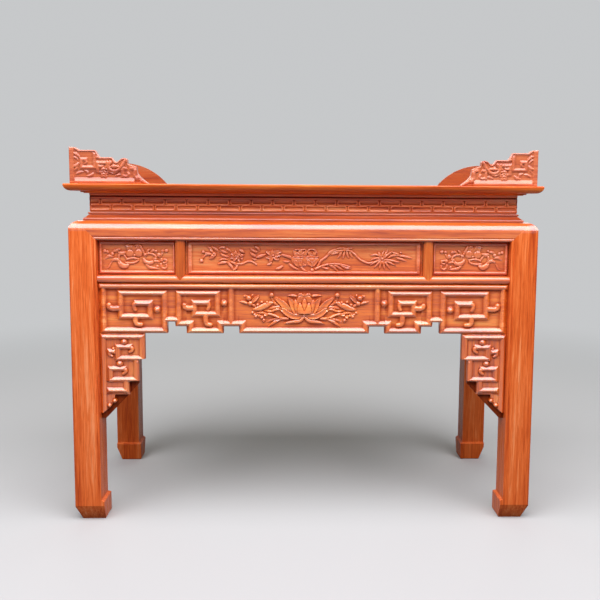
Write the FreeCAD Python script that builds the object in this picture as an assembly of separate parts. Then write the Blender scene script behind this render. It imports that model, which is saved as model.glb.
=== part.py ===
"""Carved altar table of solid hardwood: square legs, framed top on a waisted neck, panelled
frieze, stepped fret apron with corner brackets, and fenced wings on both ends of the top.

Millimetres, +Z up, the front is -Y. The origin is on the floor, under the middle of the table.
Pieces that run along one side are built for the front and turned to the other sides.
"""

import FreeCAD
import Part
import os

from FreeCAD import Vector

# Overall sizes
TOP_WIDTH = 1750.0
TOP_DEPTH = 810.0
TABLE_HEIGHT = 1270.0
TOP_OVERHANG = 11.0

# Clearances shared by all joints, and the overrun of every cut
JOINT_CLEARANCE = 0.2
BLIND_GAP = 1.0
OVERRUN = 5.0

# Tongues that hold panels, aprons, brackets and neck boards
TONGUE_LENGTH = 6.0
TONGUE_THICKNESS = 10.0
TONGUE_SETBACK = 32.0

# Legs
LEG_SIZE = 100.0
LEG_CORNER_RADIUS = 6.0
FOOT_FLARE = 10.5
FOOT_HEIGHT = 80.0
FOOT_SHOULDER = 7.0
FOOT_OUTER_CHAMFER = 24.0
FOOT_OUTER_CHAMFER_HEIGHT = 58.0
FOOT_INNER_CHAMFER = 2.0
FOOT_INNER_CHAMFER_HEIGHT = 4.0
BEAD_WIDTH = 10.5
BEAD_QUIRK_WIDTH = 2.5
BEAD_QUIRK_DEPTH = 3.0

# Top rails: the rounded frame that ties the leg heads together
TOP_RAIL_HEIGHT = 70.0
TOP_RAIL_WIDTH = 90.0
FRAME_EDGE_RADIUS = 38.0
RAIL_TENON_LENGTH = 50.0
RAIL_TENON_THICKNESS = 14.0
RAIL_TENON_HEIGHT = 26.0
RAIL_TENON_LIFT = 8.0
RAIL_TENON_SETBACK = 14.0

# Frieze panels between the top rails and the middle rails
FRIEZE_HEIGHT = 131.0
PANEL_THICKNESS = 20.0
PANEL_SETBACK = 24.0
PANEL_BORDER = 12.0
PANEL_SINK = 6.0

# Middle rails and their pegs
MID_RAIL_HEIGHT = 27.0
MID_RAIL_DEPTH = 43.0
MID_RAIL_SETBACK = 5.0
MID_TENON_LENGTH = 45.0
MID_TENON_HEIGHT = 13.0
MID_TENON_SETBACK = 22.0
MID_TENON_WIDTH = 24.0
PEG_RADIUS = 4.0
PEG_LENGTH = 85.0
PEG_INSET = 25.0

# Muntins between the three frieze panels of the front
MUNTIN_CENTRE = 459.5
MUNTIN_WIDTH = 36.5
MUNTIN_DEPTH = 40.0
MUNTIN_SETBACK = 7.0
MUNTIN_ROUND = 10.0
MUNTIN_POINT = 18.0
MUNTIN_TENON_LENGTH = 12.0
MUNTIN_TENON_WIDTH = 20.0
MUNTIN_TENON_THICKNESS = 12.0

# Aprons under the middle rails
APRON_GAP = 6.0
APRON_HEIGHT = 184.5
APRON_THICKNESS = 24.0
APRON_SETBACK = 24.0
SIDE_APRON_HEIGHT = 120.0
BACK_APRON_HEIGHT = 90.0
FRET_WIDTH = 16.0
FRET_RELIEF = 9.0

# Corner brackets under the front apron
BRACKET_WIDTH = 176.0
BRACKET_HEIGHT = 296.0
BRACKET_FACE = 12.0
BRACKET_FRET_WIDTH = 11.0
BRACKET_FRET_RELIEF = 7.0

# Moulded base of the neck, the neck and its glue blocks
BASE_INSET = 55.0
BASE_HEIGHT = 34.0
BASE_WIDTH = 46.0
BASE_BEAD_HEIGHT = 9.0
BASE_FILLET = 3.0
NECK_INSET = 75.0
NECK_HEIGHT = 66.0
NECK_THICKNESS = 22.0
NECK_TONGUE_SETBACK = 6.0
NECK_BAND_SINK = 3.0
NECK_BAND_HEIGHT = 46.0
NECK_BAND_LIFT = 8.0
CORNER_BLOCK = 40.0
DOWEL_RADIUS = 5.0
BASE_DOWEL_SETBACK = 12.0
BASE_DOWEL_REACH = 9.0

# Framed top
TOP_FRAME_THICKNESS = 34.0
TOP_FRAME_WIDTH = 120.0
NOSE_HEIGHT = 26.0
NOSE_RUN = 26.0
NOSE_EASE = 5.0
OGEE_FLAT = 12.0
OGEE_RUN = 22.0
TOP_TENON_WIDTH = 20.0
TOP_TENON_HEIGHT = 8.0
TOP_TENON_INSET = 50.0
TOP_BOARD_THICKNESS = 20.0
TOP_BOARD_COUNT = 3
TOP_TONGUE = 8.0
TOP_TONGUE_THICKNESS = 8.0
TOP_TONGUE_LIFT = 4.0
BATTEN_WIDTH = 50.0
BATTEN_HEIGHT = 28.0
BATTEN_SPACING = 400.0
BATTEN_TENON_HEIGHT = 9.0
BATTEN_TENON_LENGTH = 20.0
STRETCHER_SPACING = 600.0
STRETCHER_WIDTH = 40.0
STRETCHER_TENON_LENGTH = 14.0
STRETCHER_TENON_WIDTH = 24.0
STRETCHER_TENON_HEIGHT = 10.0

# Wings that fence both ends of the top
WING_INSET = 20.0
WING_LENGTH = 284.0
WING_HEIGHT = 131.0
WING_THICKNESS = 22.0
WING_LEDGE_HEIGHT = 16.0
WING_LEDGE_RELIEF = 6.0
WING_STILE = 17.0
FENCE_HEIGHT = 111.0
FENCE_ARC_RADIUS = 255.0
FENCE_CROWN = 29.0
FENCE_TENON_LENGTH = 6.0
FENCE_TENON_THICKNESS = 10.0
FENCE_TENON_HEIGHT = 80.0
WING_DOWEL_REACH = 15.0

# Outlines, as shares chosen by hand of the piece that they belong to
# Lower edge of the front apron from its middle to its end: half width, height
APRON_EDGE_SHARES = [
    (0.318, 0.000), (0.318, 0.142), (0.395, 0.142), (0.395, 0.000), (0.575, 0.000), (0.575, 0.142),
    (0.629, 0.142), (0.629, 0.238), (0.667, 0.238), (0.667, 0.000), (1.000, 0.000),
]
# Centre lines of the fret bars on one half of the front apron: half width, height
APRON_FRET_SHARES = [
    [(0.000, 0.064), (0.306, 0.064), (0.306, 0.205), (0.408, 0.205), (0.408, 0.064), (0.562, 0.064),
     (0.562, 0.205), (0.617, 0.205), (0.617, 0.840), (0.425, 0.840), (0.425, 0.395), (0.536, 0.395),
     (0.536, 0.625), (0.470, 0.625), (0.470, 0.520)],
    [(0.617, 0.290), (0.681, 0.290)],
    [(0.976, 0.900), (0.976, 0.064), (0.681, 0.064), (0.681, 0.840), (0.893, 0.840), (0.893, 0.345),
     (0.754, 0.345), (0.754, 0.620), (0.826, 0.620), (0.826, 0.500)],
    [(0.359, 0.900), (0.359, 0.205)],
    [(0.482, 0.395), (0.482, 0.170), (0.464, 0.170)],
    [(0.822, 0.345), (0.822, 0.170), (0.796, 0.170)],
    [(0.536, 0.510), (0.578, 0.510), (0.578, 0.570)],
    [(0.893, 0.510), (0.945, 0.510), (0.945, 0.580)],
]
# Free edge of a bracket from its top inner corner to its tip on the leg: width, height downwards
BRACKET_EDGE_SHARES = [
    (0.964, 0.000), (0.964, 0.330), (0.830, 0.330), (0.830, 0.612), (0.614, 0.612), (0.614, 0.788),
    (0.310, 0.788), (0.310, 0.890), (0.045, 1.030),
]
# Diagonal edge of the bracket's backing, in the same shares
BRACKET_BACKING_SHARES = [
    (0.944, 0.000), (0.944, 0.310), (0.812, 0.310), (0.812, 0.655), (0.565, 0.814), (0.090, 1.110),
]
# Centre lines of a bracket's fret bars, in the same shares
BRACKET_FRET_SHARES = [
    [(0.920, 0.020), (0.920, 0.310)],
    [(0.390, 0.180), (0.680, 0.180), (0.680, 0.230)],
    [(0.220, 0.235), (0.300, 0.235)],
    [(0.390, 0.180), (0.390, 0.323), (0.880, 0.323)],
    [(0.780, 0.340), (0.780, 0.590)],
    [(0.215, 0.458), (0.520, 0.458), (0.520, 0.510)],
    [(0.220, 0.458), (0.220, 0.596), (0.740, 0.596)],
    [(0.560, 0.620), (0.560, 0.750)],
    [(0.200, 0.736), (0.530, 0.736)],
]
# Stepped and scrolled upper edge of a front wing from its outer edge to its tip: length, height
WING_EDGE_SHARES = [
    (0.000, 1.000), (0.074, 0.992), (0.100, 0.965), (0.127, 0.918), (0.330, 0.918), (0.347, 0.850),
    (0.360, 0.800), (0.389, 0.724), (0.540, 0.722), (0.556, 0.672), (0.575, 0.618), (0.598, 0.592),
    (0.622, 0.610), (0.640, 0.650), (0.662, 0.690), (0.698, 0.708), (0.726, 0.694), (0.738, 0.655),
    (0.735, 0.600), (0.724, 0.558), (0.852, 0.464), (0.866, 0.290), (0.890, 0.215), (0.912, 0.165),
    (0.955, 0.090), (1.000, 0.000),
]
# Place of the middle of the top's rounded nose, as a share of its run
NOSE_BELLY_SHARE = 0.33
# Distance of an arc's middle from its square corner, as a share of its radius
ARC_BEND_SHARE = 1 - 0.5 ** 0.5
# Places of dowels along a side of the neck's base, as shares of its half length
BASE_DOWEL_SHARES = [-0.75, -0.25, 0.25, 0.75]
# Places of dowels along a wing, as shares of its length
WING_DOWEL_SHARES = [0.25, 0.65]
SIDE_WING_DOWEL_SHARES = [0.15, 0.50, 0.85]

# Derived places
body_half_x = TOP_WIDTH / 2 - TOP_OVERHANG
body_half_y = TOP_DEPTH / 2 - TOP_OVERHANG
inner_half_x = body_half_x - LEG_SIZE
inner_half_y = body_half_y - LEG_SIZE
top_under_z = TABLE_HEIGHT - TOP_FRAME_THICKNESS
neck_under_z = top_under_z - NECK_HEIGHT
frame_top_z = neck_under_z - BASE_HEIGHT
rail_under_z = frame_top_z - TOP_RAIL_HEIGHT
mid_top_z = rail_under_z - FRIEZE_HEIGHT
mid_under_z = mid_top_z - MID_RAIL_HEIGHT
mid_z = mid_under_z + MID_RAIL_HEIGHT / 2
apron_top_z = mid_under_z - APRON_GAP
apron_under_z = apron_top_z - APRON_HEIGHT
bracket_top_z = apron_under_z - JOINT_CLEARANCE
bracket_tip_z = bracket_top_z - BRACKET_HEIGHT * BRACKET_EDGE_SHARES[-1][1]
groove_depth = TONGUE_LENGTH + BLIND_GAP
board_under_z = TABLE_HEIGHT - TOP_BOARD_THICKNESS
opening_half_x = TOP_WIDTH / 2 - TOP_FRAME_WIDTH
opening_half_y = TOP_DEPTH / 2 - TOP_FRAME_WIDTH
wing_half_x = TOP_WIDTH / 2 - WING_INSET
wing_half_y = TOP_DEPTH / 2 - WING_INSET

# Sides in the order of quarter turns from the front
QUARTER_TURN = 90.0
SIDE_NAMES = ("front", "right", "back", "left")
ORIGIN = Vector(0, 0, 0)
X_AXIS = Vector(1, 0, 0)
Y_AXIS = Vector(0, 1, 0)
Z_AXIS = Vector(0, 0, 1)


# Small builders
def block(x0, x1, y0, y1, z0, z1):
    """Box between two corners."""
    return Part.makeBox(x1 - x0, y1 - y0, z1 - z0, Vector(x0, y0, z0))


def loosened(x0, x1, y0, y1, z0, z1):
    """Box that takes the given box with the joint clearance all round."""
    gap = JOINT_CLEARANCE
    return block(x0 - gap, x1 + gap, y0 - gap, y1 + gap, z0 - gap, z1 + gap)


def outline_wire(corners):
    """Closed wire through corners. A corner given as a pair (middle, end) is reached by an arc."""
    start = corners[0]
    edges = []
    here = start
    for corner in corners[1:] + [start]:
        if isinstance(corner, tuple):
            edges.append(Part.Arc(here, corner[0], corner[1]).toShape())
            here = corner[1]
        else:
            edges.append(Part.makeLine(here, corner))
            here = corner
    return Part.Wire(edges)


def prism(corners, run):
    """Solid swept from an outline along a vector."""
    return Part.Face(outline_wire(corners)).extrude(run)


def turned(shape, turns):
    """Copy turned about the table's middle by quarter turns."""
    copy = shape.copy()
    copy.rotate(ORIGIN, Z_AXIS, QUARTER_TURN * turns)
    return copy


def side_halves(side):
    """Half length and half depth of the body, as one side sees them."""
    if side in ("front", "back"):
        return body_half_x, body_half_y
    return body_half_y, body_half_x


def mirrored_x(shape):
    """Copy on the other side of the table."""
    return shape.mirror(ORIGIN, X_AXIS)


def mirrored_y(shape):
    """Copy on the other face of the table."""
    return shape.mirror(ORIGIN, Y_AXIS)


def mitred(shape, along, across, width):
    """Shape kept inside the mitred plan of one side of a frame: outer half sizes, width."""
    reach = TABLE_HEIGHT + WING_HEIGHT
    plan = [
        Vector(-along, -across, 0),
        Vector(along, -across, 0),
        Vector(along - width, width - across, 0),
        Vector(width - along, width - across, 0),
    ]
    return shape.common(prism(plan, Vector(0, 0, reach)))


def bars(lines, width, place):
    """Boxes along axis-parallel centre lines: place(share, share, margin) gives each box."""
    half = width / 2
    return [place(start, end, half) for line in lines for start, end in zip(line, line[1:])]


# Shared joint boxes
def rail_tenon_box(along, across, side):
    """Tenon of a top rail in a leg: half sizes of the body, and the end as a sign."""
    inner = along - LEG_SIZE
    y0 = RAIL_TENON_SETBACK - across
    z0 = rail_under_z + RAIL_TENON_LIFT
    ends = sorted([side * (inner - OVERRUN), side * (inner + RAIL_TENON_LENGTH)])
    return ends[0], ends[1], y0, y0 + RAIL_TENON_THICKNESS, z0, z0 + RAIL_TENON_HEIGHT


def mid_tenon_box(along, across, side):
    """Tenon of a middle rail in a leg."""
    inner = along - LEG_SIZE
    y0 = MID_TENON_SETBACK - across
    z0 = mid_z - MID_TENON_HEIGHT / 2
    ends = sorted([side * (inner - OVERRUN), side * (inner + MID_TENON_LENGTH)])
    return ends[0], ends[1], y0, y0 + MID_TENON_WIDTH, z0, z0 + MID_TENON_HEIGHT


def groove(x0, x1, across, z0, z1):
    """Groove that takes a tongue, cut on the tongue plane of one side."""
    y0 = TONGUE_SETBACK - across - JOINT_CLEARANCE
    return block(x0, x1, y0, y0 + TONGUE_THICKNESS + 2 * JOINT_CLEARANCE, z0, z1)


def tongue(x0, x1, across, z0, z1):
    """Tongue on the tongue plane of one side."""
    y0 = TONGUE_SETBACK - across
    return block(x0, x1, y0, y0 + TONGUE_THICKNESS, z0, z1)


def muntin_tenon_boxes(x):
    """Upper and lower tenon of a muntin."""
    y0 = MUNTIN_SETBACK + MUNTIN_ROUND - body_half_y
    y1 = y0 + MUNTIN_TENON_THICKNESS
    x0 = x - MUNTIN_TENON_WIDTH / 2
    x1 = x + MUNTIN_TENON_WIDTH / 2
    upper = (x0, x1, y0, y1, rail_under_z - OVERRUN, rail_under_z + MUNTIN_TENON_LENGTH)
    lower = (x0, x1, y0, y1, mid_top_z - MUNTIN_TENON_LENGTH, mid_top_z + OVERRUN)
    return upper, lower


def muntin_point(x, slack):
    """Mitred point of a muntin that lies in a notch of the middle rail."""
    y0 = MUNTIN_SETBACK - body_half_y - slack * OVERRUN
    half = MUNTIN_WIDTH / 2 + slack * JOINT_CLEARANCE
    tip = MUNTIN_POINT + slack * JOINT_CLEARANCE
    depth = MUNTIN_ROUND + slack * (OVERRUN + JOINT_CLEARANCE)
    corners = [
        Vector(x - half, y0, mid_top_z + OVERRUN),
        Vector(x - half, y0, mid_top_z),
        Vector(x, y0, mid_top_z - tip),
        Vector(x + half, y0, mid_top_z),
        Vector(x + half, y0, mid_top_z + OVERRUN),
    ]
    return prism(corners, Vector(0, depth, 0))


def stretcher_tenon_box(x):
    """Front tenon of a cross stretcher, in the back of the front middle rail."""
    y1 = MID_RAIL_SETBACK + MID_RAIL_DEPTH - body_half_y
    half = STRETCHER_TENON_WIDTH / 2
    lift = STRETCHER_TENON_HEIGHT / 2
    return x - half, x + half, y1 - STRETCHER_TENON_LENGTH, y1 + OVERRUN, mid_z - lift, mid_z + lift


def top_tenon_box(side):
    """Hidden tenon in a mitred corner of the top's frame, from the front rail into a side rail."""
    y0 = TOP_TENON_INSET - TOP_DEPTH / 2
    z0 = top_under_z + (board_under_z - top_under_z) / 2 - TOP_TENON_HEIGHT / 2
    mitre = TOP_WIDTH / 2 - TOP_TENON_INSET
    ends = sorted([side * (mitre - TOP_TENON_WIDTH - OVERRUN), side * mitre])
    return ends[0], ends[1], y0, y0 + TOP_TENON_WIDTH, z0, z0 + TOP_TENON_HEIGHT


def batten_tenon_box(x):
    """Front tenon of a batten in the front rail of the top."""
    y1 = -opening_half_y
    z1 = board_under_z - JOINT_CLEARANCE - BLIND_GAP
    half = BATTEN_WIDTH / 2 - OVERRUN
    return x - half, x + half, y1 - BATTEN_TENON_LENGTH, y1 + OVERRUN, z1 - BATTEN_TENON_HEIGHT, z1


def fence_tenon_box(x):
    """Front stub tenon of a side wing in a front wing."""
    y0 = WING_THICKNESS - wing_half_y
    half = FENCE_TENON_THICKNESS / 2
    lift = (FENCE_HEIGHT - FENCE_TENON_HEIGHT) / 2
    z0 = TABLE_HEIGHT + lift
    return x - half, x + half, y0 - FENCE_TENON_LENGTH, y0 + OVERRUN, z0, z0 + FENCE_TENON_HEIGHT


# Legs
def leg_profile(outer):
    """Half profile of a leg across one direction, from its outer face inwards, as (place, height)."""
    inner = outer - LEG_SIZE
    radius = FRAME_EDGE_RADIUS
    bend = radius * ARC_BEND_SHARE
    return [
        (outer - FOOT_OUTER_CHAMFER, 0),
        (outer, FOOT_OUTER_CHAMFER_HEIGHT),
        (outer, frame_top_z - radius),
        ((outer - bend, frame_top_z - bend), (outer - radius, frame_top_z)),
        (inner, frame_top_z),
        (inner, FOOT_HEIGHT),
        (inner - FOOT_FLARE, FOOT_HEIGHT - FOOT_SHOULDER),
        (inner - FOOT_FLARE, FOOT_INNER_CHAMFER_HEIGHT),
        (inner - FOOT_FLARE + FOOT_INNER_CHAMFER, 0),
    ]


def lift_profile(profile, place):
    """Corners of a profile as vectors: place(p, z) gives each."""
    corners = []
    for corner in profile:
        if isinstance(corner[0], tuple):
            corners.append((place(*corner[0]), place(*corner[1])))
        else:
            corners.append(place(*corner))
    return corners


def leg_blank():
    """Right front leg before joinery: two profiles crossed, with a rounded outer corner."""
    across_x = lift_profile(leg_profile(body_half_x), lambda p, z: Vector(p, 0, z))
    across_y = lift_profile(leg_profile(body_half_y), lambda p, z: Vector(0, -p, z))
    blank = prism(across_x, Vector(0, -body_half_y, 0)).common(prism(across_y, Vector(body_half_x, 0, 0)))
    radius = LEG_CORNER_RADIUS
    bend = radius * ARC_BEND_SHARE
    plan = [
        ORIGIN,
        Vector(body_half_x, 0, 0),
        Vector(body_half_x, radius - body_half_y, 0),
        (Vector(body_half_x - bend, bend - body_half_y, 0), Vector(body_half_x - radius, -body_half_y, 0)),
        Vector(0, -body_half_y, 0),
    ]
    return blank.common(prism(plan, Vector(0, 0, TABLE_HEIGHT)))


def leg_bead_cut():
    """Waste beside the bead on the inner edge of the front face of the right front leg."""
    face = -body_half_y
    x0 = inner_half_x
    x1 = x0 + BEAD_WIDTH
    x2 = x1 + BEAD_QUIRK_WIDTH
    low = face + BEAD_QUIRK_DEPTH
    foot = bracket_tip_z
    corners = [
        Vector(x0 - OVERRUN, face - OVERRUN, foot),
        Vector(x2, face - OVERRUN, foot),
        Vector(x2, face, foot),
        Vector(x1, low, foot),
        (Vector((x0 + x1) / 2, face, foot), Vector(x0, low, foot)),
        Vector(x0 - OVERRUN, low, foot),
    ]
    return prism(corners, Vector(0, 0, frame_top_z - foot))


def rail_envelope(along, across):
    """Plain body of a top rail with its mitres, before moulding."""
    inner = along - LEG_SIZE
    y0 = -across - OVERRUN
    corners = [
        Vector(-inner, y0, rail_under_z),
        Vector(inner, y0, rail_under_z),
        Vector(inner + TOP_RAIL_HEIGHT + OVERRUN, y0, frame_top_z + OVERRUN),
        Vector(-inner - TOP_RAIL_HEIGHT - OVERRUN, y0, frame_top_z + OVERRUN),
    ]
    body = prism(corners, Vector(0, TOP_RAIL_WIDTH + OVERRUN, 0))
    return mitred(body, along + OVERRUN, across + OVERRUN, TOP_RAIL_WIDTH + OVERRUN)


def leg_groove(x_foot_z):
    """Groove in the inner side of the right front leg, from a height up to the top rail."""
    x0 = inner_half_x - OVERRUN
    return groove(x0, inner_half_x + groove_depth, body_half_y, x_foot_z, rail_under_z)


def peg_hole(radius, length):
    """Bore of the peg that locks the front middle rail's tenon in the right front leg."""
    start = Vector(inner_half_x + PEG_INSET, -inner_half_y + BLIND_GAP, mid_z)
    return Part.makeCylinder(radius, length, start, Vector(0, -1, 0))


def side_peg_hole(radius, length):
    """Bore of the peg that locks the right middle rail's tenon in the right front leg."""
    start = Vector(inner_half_x - BLIND_GAP, -inner_half_y - PEG_INSET, mid_z)
    return Part.makeCylinder(radius, length, start, Vector(1, 0, 0))


def to_corner(shape):
    """Cut made for the front end of the right side, from one made for the right end of the front."""
    plane = Vector(1, 1, 0)
    corner = Vector(inner_half_x, -inner_half_y, 0)
    return shape.mirror(corner, plane)


def leg(bracketed):
    """Right leg of the front or, with no bracket, of the back, both drawn at the front."""
    foot_z = bracket_tip_z if bracketed else apron_top_z - BACK_APRON_HEIGHT
    side_foot_z = apron_top_z - SIDE_APRON_HEIGHT
    front_bead = leg_bead_cut()
    cuts = [
        rail_envelope(body_half_x, body_half_y),
        turned(rail_envelope(body_half_y, body_half_x), 1),
        loosened(*rail_tenon_box(body_half_x, body_half_y, 1)),
        turned(loosened(*rail_tenon_box(body_half_y, body_half_x, -1)), 1),
        loosened(*mid_tenon_box(body_half_x, body_half_y, 1)),
        turned(loosened(*mid_tenon_box(body_half_y, body_half_x, -1)), 1),
        leg_groove(foot_z),
        to_corner(leg_groove(side_foot_z)),
        front_bead,
        to_corner(front_bead),
        peg_hole(PEG_RADIUS + JOINT_CLEARANCE, PEG_LENGTH + BLIND_GAP),
        side_peg_hole(PEG_RADIUS + JOINT_CLEARANCE, PEG_LENGTH + BLIND_GAP),
    ]
    return leg_blank().cut(cuts)


# Top rails
def top_rail_profile(across):
    """Section of a top rail: bead along its lower edge, rounded upper edge."""
    face = -across
    low = face + BEAD_QUIRK_DEPTH
    z0 = rail_under_z
    z1 = z0 + BEAD_WIDTH
    radius = FRAME_EDGE_RADIUS
    bend = radius * ARC_BEND_SHARE
    return [
        Vector(0, low, z0),
        (Vector(0, face, (z0 + z1) / 2), Vector(0, low, z1)),
        Vector(0, face, z1 + BEAD_QUIRK_WIDTH),
        Vector(0, face, frame_top_z - radius),
        (Vector(0, face + bend, frame_top_z - bend), Vector(0, face + radius, frame_top_z)),
        Vector(0, face + TOP_RAIL_WIDTH, frame_top_z),
        Vector(0, face + TOP_RAIL_WIDTH, z0),
    ]


def base_dowel_places(along, across):
    """Places of the dowels between a top rail and the neck's base on one side."""
    half = along + TOP_OVERHANG - BASE_INSET - BASE_WIDTH
    y = -across - TOP_OVERHANG + BASE_INSET + BASE_DOWEL_SETBACK
    return [Vector(share * half, y, frame_top_z - BASE_DOWEL_REACH) for share in BASE_DOWEL_SHARES]


def top_rail(along, across, front):
    """Top rail of one side, mitred into the legs, with tenons, groove and dowel holes."""
    moulding = prism(top_rail_profile(across), Vector(2 * along, 0, 0))
    moulding.translate(Vector(-along, 0, 0))
    body = moulding.common(rail_envelope(along, across))
    tenons = [block(*rail_tenon_box(along, across, side)) for side in (-1, 1)]
    inner = along - LEG_SIZE
    cuts = [groove(-inner, inner, across, rail_under_z - OVERRUN, rail_under_z + groove_depth)]
    if front:
        cuts += [loosened(*muntin_tenon_boxes(x)[0]) for x in (-MUNTIN_CENTRE, MUNTIN_CENTRE)]
    for place in base_dowel_places(along, across):
        hole = Part.makeCylinder(DOWEL_RADIUS + JOINT_CLEARANCE, TOP_RAIL_HEIGHT, place)
        hole.translate(Vector(0, 0, -BLIND_GAP))
        cuts.append(hole)
    return body.fuse(tenons).cut(cuts).removeSplitter()


# Middle rails
def mid_rail(along, across, side):
    """Half-round middle rail with tenons at both ends and grooves above and below."""
    inner = along - LEG_SIZE
    face = MID_RAIL_SETBACK - across
    bend = MID_RAIL_HEIGHT / 2
    back = face + MID_RAIL_DEPTH
    section = [
        Vector(-inner, face + bend, mid_under_z),
        (Vector(-inner, face, mid_z), Vector(-inner, face + bend, mid_top_z)),
        Vector(-inner, back, mid_top_z),
        Vector(-inner, back, mid_under_z),
    ]
    body = prism(section, Vector(2 * inner, 0, 0))
    tenons = [block(*mid_tenon_box(along, across, end)) for end in (-1, 1)]
    cuts = [
        groove(-inner, inner, across, mid_top_z - groove_depth, mid_top_z + OVERRUN),
        groove(-inner, inner, across, mid_under_z - OVERRUN, mid_under_z + groove_depth),
    ]
    if side == "front":
        for x in (-MUNTIN_CENTRE, MUNTIN_CENTRE):
            cuts += [muntin_point(x, 1), loosened(*muntin_tenon_boxes(x)[1])]
    if side in ("front", "back"):
        for x in (-STRETCHER_SPACING / 2, STRETCHER_SPACING / 2):
            cuts.append(loosened(*stretcher_tenon_box(x)))
    for end in (-1, 1):
        start = Vector(end * (inner + PEG_INSET), -across, mid_z)
        cuts.append(Part.makeCylinder(PEG_RADIUS + JOINT_CLEARANCE, across, start, Y_AXIS))
    return body.fuse(tenons).cut(cuts).removeSplitter()


def pegs():
    """Pegs of the middle rails, two in each leg."""
    pair = [peg_hole(PEG_RADIUS, PEG_LENGTH), side_peg_hole(PEG_RADIUS, PEG_LENGTH)]
    right = pair + [mirrored_y(peg) for peg in pair]
    return Part.makeCompound(right + [mirrored_x(peg) for peg in right])


# Muntins
def muntin(x):
    """Half-round muntin with tenons, side grooves and a mitred point."""
    face = MUNTIN_SETBACK - body_half_y
    half = MUNTIN_WIDTH / 2
    bend = face + MUNTIN_ROUND
    back = face + MUNTIN_DEPTH
    foot = mid_top_z - MUNTIN_POINT - OVERRUN
    section = [
        Vector(x - half, bend, foot),
        (Vector(x, face, foot), Vector(x + half, bend, foot)),
        Vector(x + half, back, foot),
        Vector(x - half, back, foot),
    ]
    bar = prism(section, Vector(0, 0, rail_under_z - foot))
    stock = block(x - half, x + half, face, back, mid_top_z, rail_under_z)
    body = bar.common(stock.fuse(muntin_point(x, 0)))
    tenons = [block(*box) for box in muntin_tenon_boxes(x)]
    cuts = []
    for side in (-1, 1):
        ends = sorted([x + side * (half - groove_depth), x + side * (half + OVERRUN)])
        cuts.append(groove(ends[0], ends[1], body_half_y, mid_top_z, rail_under_z))
    return body.cut(cuts).fuse(tenons).removeSplitter()


# Frieze panels
def frieze_panel(x0, x1, across, sunk):
    """Panel in an opening of the frieze: tongues on all edges and, if wanted, a sunk ground."""
    gap = JOINT_CLEARANCE
    y0 = PANEL_SETBACK - across
    board = block(x0 + gap, x1 - gap, y0, y0 + PANEL_THICKNESS, mid_top_z, rail_under_z - gap)
    run = TONGUE_LENGTH
    lips = [
        tongue(x0 - run, x1 + run, across, mid_top_z + gap, rail_under_z - gap),
        tongue(x0 + gap, x1 - gap, across, mid_top_z - run, rail_under_z + run),
    ]
    body = board.fuse(lips)
    if sunk:
        edge = PANEL_BORDER
        body = body.cut(
            block(x0 + edge, x1 - edge, y0 - OVERRUN, y0 + PANEL_SINK, mid_top_z + edge, rail_under_z - edge)
        )
    return body.removeSplitter()


# Aprons
def apron_place(start, end, half):
    """Box of one fret bar of the front apron, between two share points."""
    xs = sorted([start[0] * inner_half_x, end[0] * inner_half_x])
    zs = sorted([apron_under_z + start[1] * APRON_HEIGHT, apron_under_z + end[1] * APRON_HEIGHT])
    y1 = APRON_SETBACK - body_half_y + OVERRUN
    return block(xs[0] - half, xs[1] + half, y1 - OVERRUN - FRET_RELIEF, y1, zs[0] - half, zs[1] + half)


def apron_tongues(half, across, height):
    """Tongues of an apron: one along its top, one at each end."""
    run = TONGUE_LENGTH
    z0 = apron_top_z - height
    top = tongue(-half + run, half - run, across, z0 + OVERRUN, mid_under_z + run)
    ends = tongue(-half - run, half + run, across, z0 + OVERRUN, apron_top_z - OVERRUN)
    return [top, ends]


def front_apron():
    """Stepped apron with fret bars in relief on both halves."""
    face = APRON_SETBACK - body_half_y
    half = inner_half_x - JOINT_CLEARANCE
    right = [
        Vector(min(x * inner_half_x, half), face, apron_under_z + z * APRON_HEIGHT)
        for x, z in APRON_EDGE_SHARES
    ]
    left = [Vector(-corner.x, corner.y, corner.z) for corner in reversed(right)]
    corners = left + right + [Vector(half, face, apron_top_z), Vector(-half, face, apron_top_z)]
    board = prism(corners, Vector(0, APRON_THICKNESS, 0))
    fret = bars(APRON_FRET_SHARES, FRET_WIDTH, apron_place)
    fret += [mirrored_x(bar) for bar in fret]
    bead = block(-half, half, face - FRET_RELIEF, face + OVERRUN, apron_top_z - FRET_WIDTH, apron_top_z)
    relief = fret[0].multiFuse(fret[1:] + [bead])
    trim = prism(corners, Vector(0, -2 * FRET_RELIEF, 0))
    trim = trim.fuse(prism(corners, Vector(0, APRON_THICKNESS, 0)))
    tongues = apron_tongues(half, body_half_y, APRON_HEIGHT)
    return board.fuse(tongues + [relief.common(trim)]).removeSplitter()


def plain_apron(along, across, height):
    """Straight apron with a bead along its top and its lower edge."""
    half = along - LEG_SIZE - JOINT_CLEARANCE
    face = APRON_SETBACK - across
    z0 = apron_top_z - height
    board = block(-half, half, face, face + APRON_THICKNESS, z0, apron_top_z)
    beads = [
        block(-half, half, face - FRET_RELIEF, face + OVERRUN, z, z + FRET_WIDTH)
        for z in (z0, apron_top_z - FRET_WIDTH)
    ]
    return board.fuse(apron_tongues(half, across, height) + beads).removeSplitter()


# Corner brackets
def bracket_corner(share_point, y):
    """Point of a right bracket: share of the width from the leg inwards, share of the height down."""
    across, down = share_point
    x = inner_half_x - JOINT_CLEARANCE - across * BRACKET_WIDTH
    return Vector(x, y, bracket_top_z - down * BRACKET_HEIGHT)


def bracket_place(start, end, half):
    """Box of one fret bar of a right bracket, between two share points."""
    y1 = APRON_SETBACK - body_half_y + BRACKET_FACE / 2
    a = bracket_corner(start, y1)
    b = bracket_corner(end, y1)
    xs = sorted([a.x, b.x])
    zs = sorted([a.z, b.z])
    y0 = APRON_SETBACK - body_half_y - BRACKET_FRET_RELIEF
    return block(xs[0] - half, xs[1] + half, y0, y1, zs[0] - half, zs[1] + half)


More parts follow.
